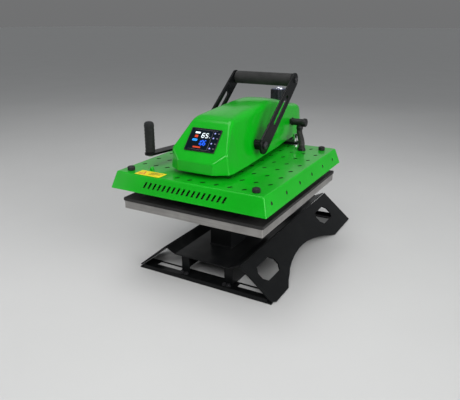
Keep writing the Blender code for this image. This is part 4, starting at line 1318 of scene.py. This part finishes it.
def build_conduit():
    route = conduit_route()
    path = even_path(route, PATH_STEP)
    ribs = round(len(path) / RIB_POINTS)

    def ribbed(share):
        hollow = (0.5 - 0.5 * math.cos(2 * math.pi * ribs * share)) ** 1.5
        return CONDUIT_RADIUS - RIB_DEPTH * hollow
    mesh = sweep(path, 32, ribbed)
    conduit = hold(mesh, "power_conduit_corrugated")
    mesh.materials.append(CONDUIT)
    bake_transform(conduit)
    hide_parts("power_conduit")
    build_fitting()
    low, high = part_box("conduit_gland")
    place = over("conduit_gland", low.z)
    nut = hex_nut(place, 0.0128, 0.0048, 0.0092)
    collar = tube(place, 0, 0.0107, 0.003, high.z - low.z, 48, 0.0010)
    put("conduit_gland_nut", joined(nut, collar), PLASTIC, "conduit_gland")


def build_fitting():
    """The fitting's body and cap, and the stub that holds the conduit."""
    low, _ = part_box("conduit_fitting")
    middle = fitting_axis()
    axis = stand(middle, (1, 0, 0))
    body = turned([(0, low.x), (0.0078, low.x), (0.0078, 0.0560), (0.0100, 0.0560),
                   (0.0100, 0.0610), (0.0105, 0.0620), (0.0105, 0.0940), (0.0, 0.0940)], axis, 56,
                  0.0006)
    flange = hex_nut(raised(axis, 0.0560), 0.0124, 0.0048)

    def ribbed(angle):
        return FITTING_RADIUS - 0.0007 * (0.5 + 0.5 * math.cos(18 * angle))
    cap = stack([(0.0104, 0.0936), (ribbed, 0.0948), (ribbed, 0.1022), (0.0112, 0.1044),
                 (0.0070, 0.1050)], axis, 108, RIB_CREASE)
    drop = stand((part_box("power_conduit")[0].x + CONDUIT_RADIUS, middle.y, 0))
    stub = turned([(0, low.z), (0.0101, low.z), (0.0101, low.z + 0.008), (0.0094, low.z + 0.009),
                   (0.0094, middle.z), (0, middle.z)], drop, 48, 0.0008)
    put("conduit_elbow", joined(body, flange, cap, stub), PLASTIC, "conduit_fitting")


# ---- side handle, knob, switch -------------------------------------------
KNOB_RADIUS = 0.0272
KNOB_POINTS = 480
CAP_RADIUS = 0.0126
THREAD_PITCH = 0.00175
THREAD_ROOT = 0.0052
THREAD_RADIUS = 0.0060


def build_swing_handle():
    refine("swing_handle_bar", BLACK, 0.0010, 35.0)
    low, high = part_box("swing_handle_grip")
    height = high.z - low.z
    radius = (high.x - low.x) / 2
    profile = [(0.0, 0.0), (0.0112, 0.0), (radius, 0.0035)]
    for k in range(15):
        z = 0.006 + (height - 0.020) * k / 14
        profile.append((radius - (0.0008 if k % 2 else 0.0002), z))
    profile += [(radius, height - 0.0105), (0.0118, height - 0.0045), (0.0075, height - 0.0010),
                (0.0, height)]
    sleeve = turned(profile, over("swing_handle_grip", low.z), 64, 0.0012, PLATE_CREASE)
    put("swing_handle_sleeve", sleeve, HAND_RUBBER, "swing_handle_grip")
    under = over("swing_handle_grip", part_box("swing_handle_bar")[0].z, (0, 0, -1))
    put("swing_handle_screw", screw_head(under, 0.0070, 0.0035, 0.0028, 0.0008), BOLT,
        body="swing_arm")


def lobed(shrink):
    """The pressure knob's radius: ten lobes with fine grooves."""
    return lambda angle: (KNOB_RADIUS - shrink - 0.0009 * (1.0 - math.cos(10 * angle))
                          - 0.00018 * (1.0 - math.cos(120 * angle)))


def build_pressure_knob():
    low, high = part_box("pressure_knob")
    place = over("pressure_knob")
    knob = stack([(0.0200, low.z), (lobed(0.0016), low.z), (lobed(0.0004), low.z + 0.0006),
                  (lobed(0.0), low.z + 0.0016), (lobed(0.0), high.z - 0.0022),
                  (lobed(0.0006), high.z - 0.0008), (0.0238, high.z), (0.0228, high.z - 0.0004)],
                 place, KNOB_POINTS, RIB_CREASE)
    put("pressure_knob_moulded", knob, KNOB_PLASTIC, "pressure_knob")
    low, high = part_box("pressure_knob_cap")
    rim = low.z + 0.0010
    ring = turned([(0, low.z), (0.0240, low.z), (0.0240, low.z + 0.0006), (0.0225, rim),
                   (0.0150, rim), (0.0146, rim - 0.0004), (0.0, rim - 0.0004)], place, 96, 0.0003)
    put("pressure_knob_ring", ring, CAP_RING, "pressure_knob_cap")
    foot = rim + 0.0010
    dome = [(0.0, low.z), (0.0128, low.z), (0.0128, rim), (CAP_RADIUS, foot)]
    dome += [(CAP_RADIUS * math.cos(a), foot + (high.z - rim - 0.0010) * math.sin(a))
             for a in (0.2, 0.45, 0.7, 0.95, 1.15, 1.35, 1.5)]
    put("pressure_knob_button", turned(dome, place, 72, 0.0004), CAP_METAL,
        body="pressure_adjuster")
    build_pressure_screw(place)


def build_pressure_screw(place):
    low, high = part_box("pressure_screw")
    profile = [(0.0, low.z)]
    for k in range(int((high.z - low.z - 0.004) / THREAD_PITCH)):
        z = low.z + 0.001 + THREAD_PITCH * k
        profile += [(THREAD_ROOT, z), (THREAD_RADIUS, z + 0.0008)]
    profile += [(THREAD_RADIUS, high.z - 0.002), (THREAD_RADIUS, high.z), (0.0, high.z)]
    put("pressure_screw_threaded", turned(profile, place, 40, 0.0002, 20.0), STEEL,
        "pressure_screw")


def build_switch():
    refine("power_inlet", PLASTIC)
    refine("power_switch", PLASTIC, 0.0005)
    low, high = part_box("power_inlet")
    middle_z = (low.z + high.z) / 2
    pins = []
    for y, z in ((0.0, 0.0035), (-0.0060, -0.0020), (0.0060, -0.0020)):
        y += low.y + 0.021
        z += middle_z
        pins.append(slab((-0.0555, y - 0.0009, z - 0.0022), (-0.0445, y + 0.0009, z + 0.0022),
                         0.0003))
    put("power_inlet_pins", joined(*pins), BOLT, body="swing_arm")
    heads = [screw_head(stand((low.x, y, middle_z), (-1, 0, 0)), 0.0024, 0.0010, 0.0010, 0.0003, 32)
             for y in (low.y + 0.0032, high.y - 0.0032)]
    put("power_inlet_screws", joined(*heads), BLACK_BOLT, body="swing_arm")


# ---- studio --------------------------------------------------------------
HORIZON = (0.455, 0.460, 0.465)
ZENITH = (0.80, 0.82, 0.84)
SKY_STRENGTH = 0.36
SKY_RISE = 0.45             # height of a direction at which the sky is all zenith
FLOOR_HALF = 60.0
FLOOR_HEIGHT = -0.0005
# name, place, aimed at, width and height, watts, spread in degrees
LAMPS = (
    ("side_right", (2.1, -0.35, 0.95), (0.0, 0.0, 0.30), (2.4, 1.7), 14.0, 80.0),
    ("front_high", (0.50, -1.95, 1.70), (0.0, 0.0, 0.25), (1.4, 0.8), 26.0, 180.0),
    ("back_panel", (-1.1, 2.3, 1.15), (0.0, 0.0, 0.30), (3.4, 0.9), 2.0, 180.0),
    ("soft_top", (-0.2, -0.2, 2.2), (0.0, 0.0, 0.20), (1.2, 1.2), 14.0, 180.0),
    ("fill_left", (-1.9, -1.3, 1.0), (0.0, 0.0, 0.25), (1.6, 1.4), 9.0, 180.0),
)


def build_camera():
    camera = hold(bpy.data.cameras.new("camera"), "camera")
    camera.data.sensor_width = 36.0
    camera.data.lens = CAMERA_LENS
    camera.location = CAMERA_PLACE
    back = Vector((math.sin(CAMERA_TURN) * math.cos(CAMERA_RISE),
                   -math.cos(CAMERA_TURN) * math.cos(CAMERA_RISE), math.sin(CAMERA_RISE)))
    camera.rotation_mode = "QUATERNION"
    camera.rotation_quaternion = (-back).to_track_quat("-Z", "Y")
    bpy.context.scene.camera = camera


def area_light(name, place, aim, size, power, spread):
    data = bpy.data.lights.new(name, "AREA")
    data.shape = "RECTANGLE"
    data.size, data.size_y = size
    data.energy = power
    data.spread = math.radians(spread)
    light = hold(data, name)
    light.location = place
    light.visible_camera = False
    light.rotation_mode = "QUATERNION"
    light.rotation_quaternion = (Vector(aim) - Vector(place)).to_track_quat("-Z", "Y")


def build_world():
    """An even sky that falls to the far floor's tone at the horizon."""
    world = bpy.data.worlds.new("studio")
    world.use_nodes = True
    tree = world.node_tree
    way = wired(tree, "ShaderNodeTexCoord", "Generated")
    height = wired(tree, "ShaderNodeSeparateXYZ", "Z", {"Vector": way})
    rise = wired(tree, "ShaderNodeMapRange", "Result", {"Value": height, "From Max": SKY_RISE},
                 interpolation_type="SMOOTHSTEP")
    back = tree.nodes["Background"]
    feed(tree, back.inputs["Color"], blended(tree, rise, HORIZON, ZENITH))
    feed(tree, back.inputs["Strength"], SKY_STRENGTH)
    bpy.context.scene.world = world


def build_studio():
    mesh = bpy.data.meshes.new("floor")
    plan = corners(-FLOOR_HALF, -FLOOR_HALF, FLOOR_HALF, FLOOR_HALF)
    mesh.from_pydata([(x, y, 0) for x, y in plan], [], [(0, 1, 2, 3)])
    floor = hold(mesh, "floor")
    floor.location.z = FLOOR_HEIGHT
    look = Look("pale_floor", roughness=0.75)
    look.set("Base Color", look.mix(look.noise(3.0, 4.0), (0.55, 0.55, 0.545), (0.59, 0.59, 0.585)))
    mesh.materials.append(look.mat)
    build_world()
    for lamp in LAMPS:
        area_light(*lamp)
    bpy.context.scene.view_settings.view_transform = "Standard"


build_camera()
build_studio()
build_conduit()
build_base()
build_lower_platen()
build_post()
build_arm()
build_display()
build_lever()
build_heating_platen()
build_cover()
build_cover_fittings()
build_swing_handle()
build_pressure_knob()
build_switch()
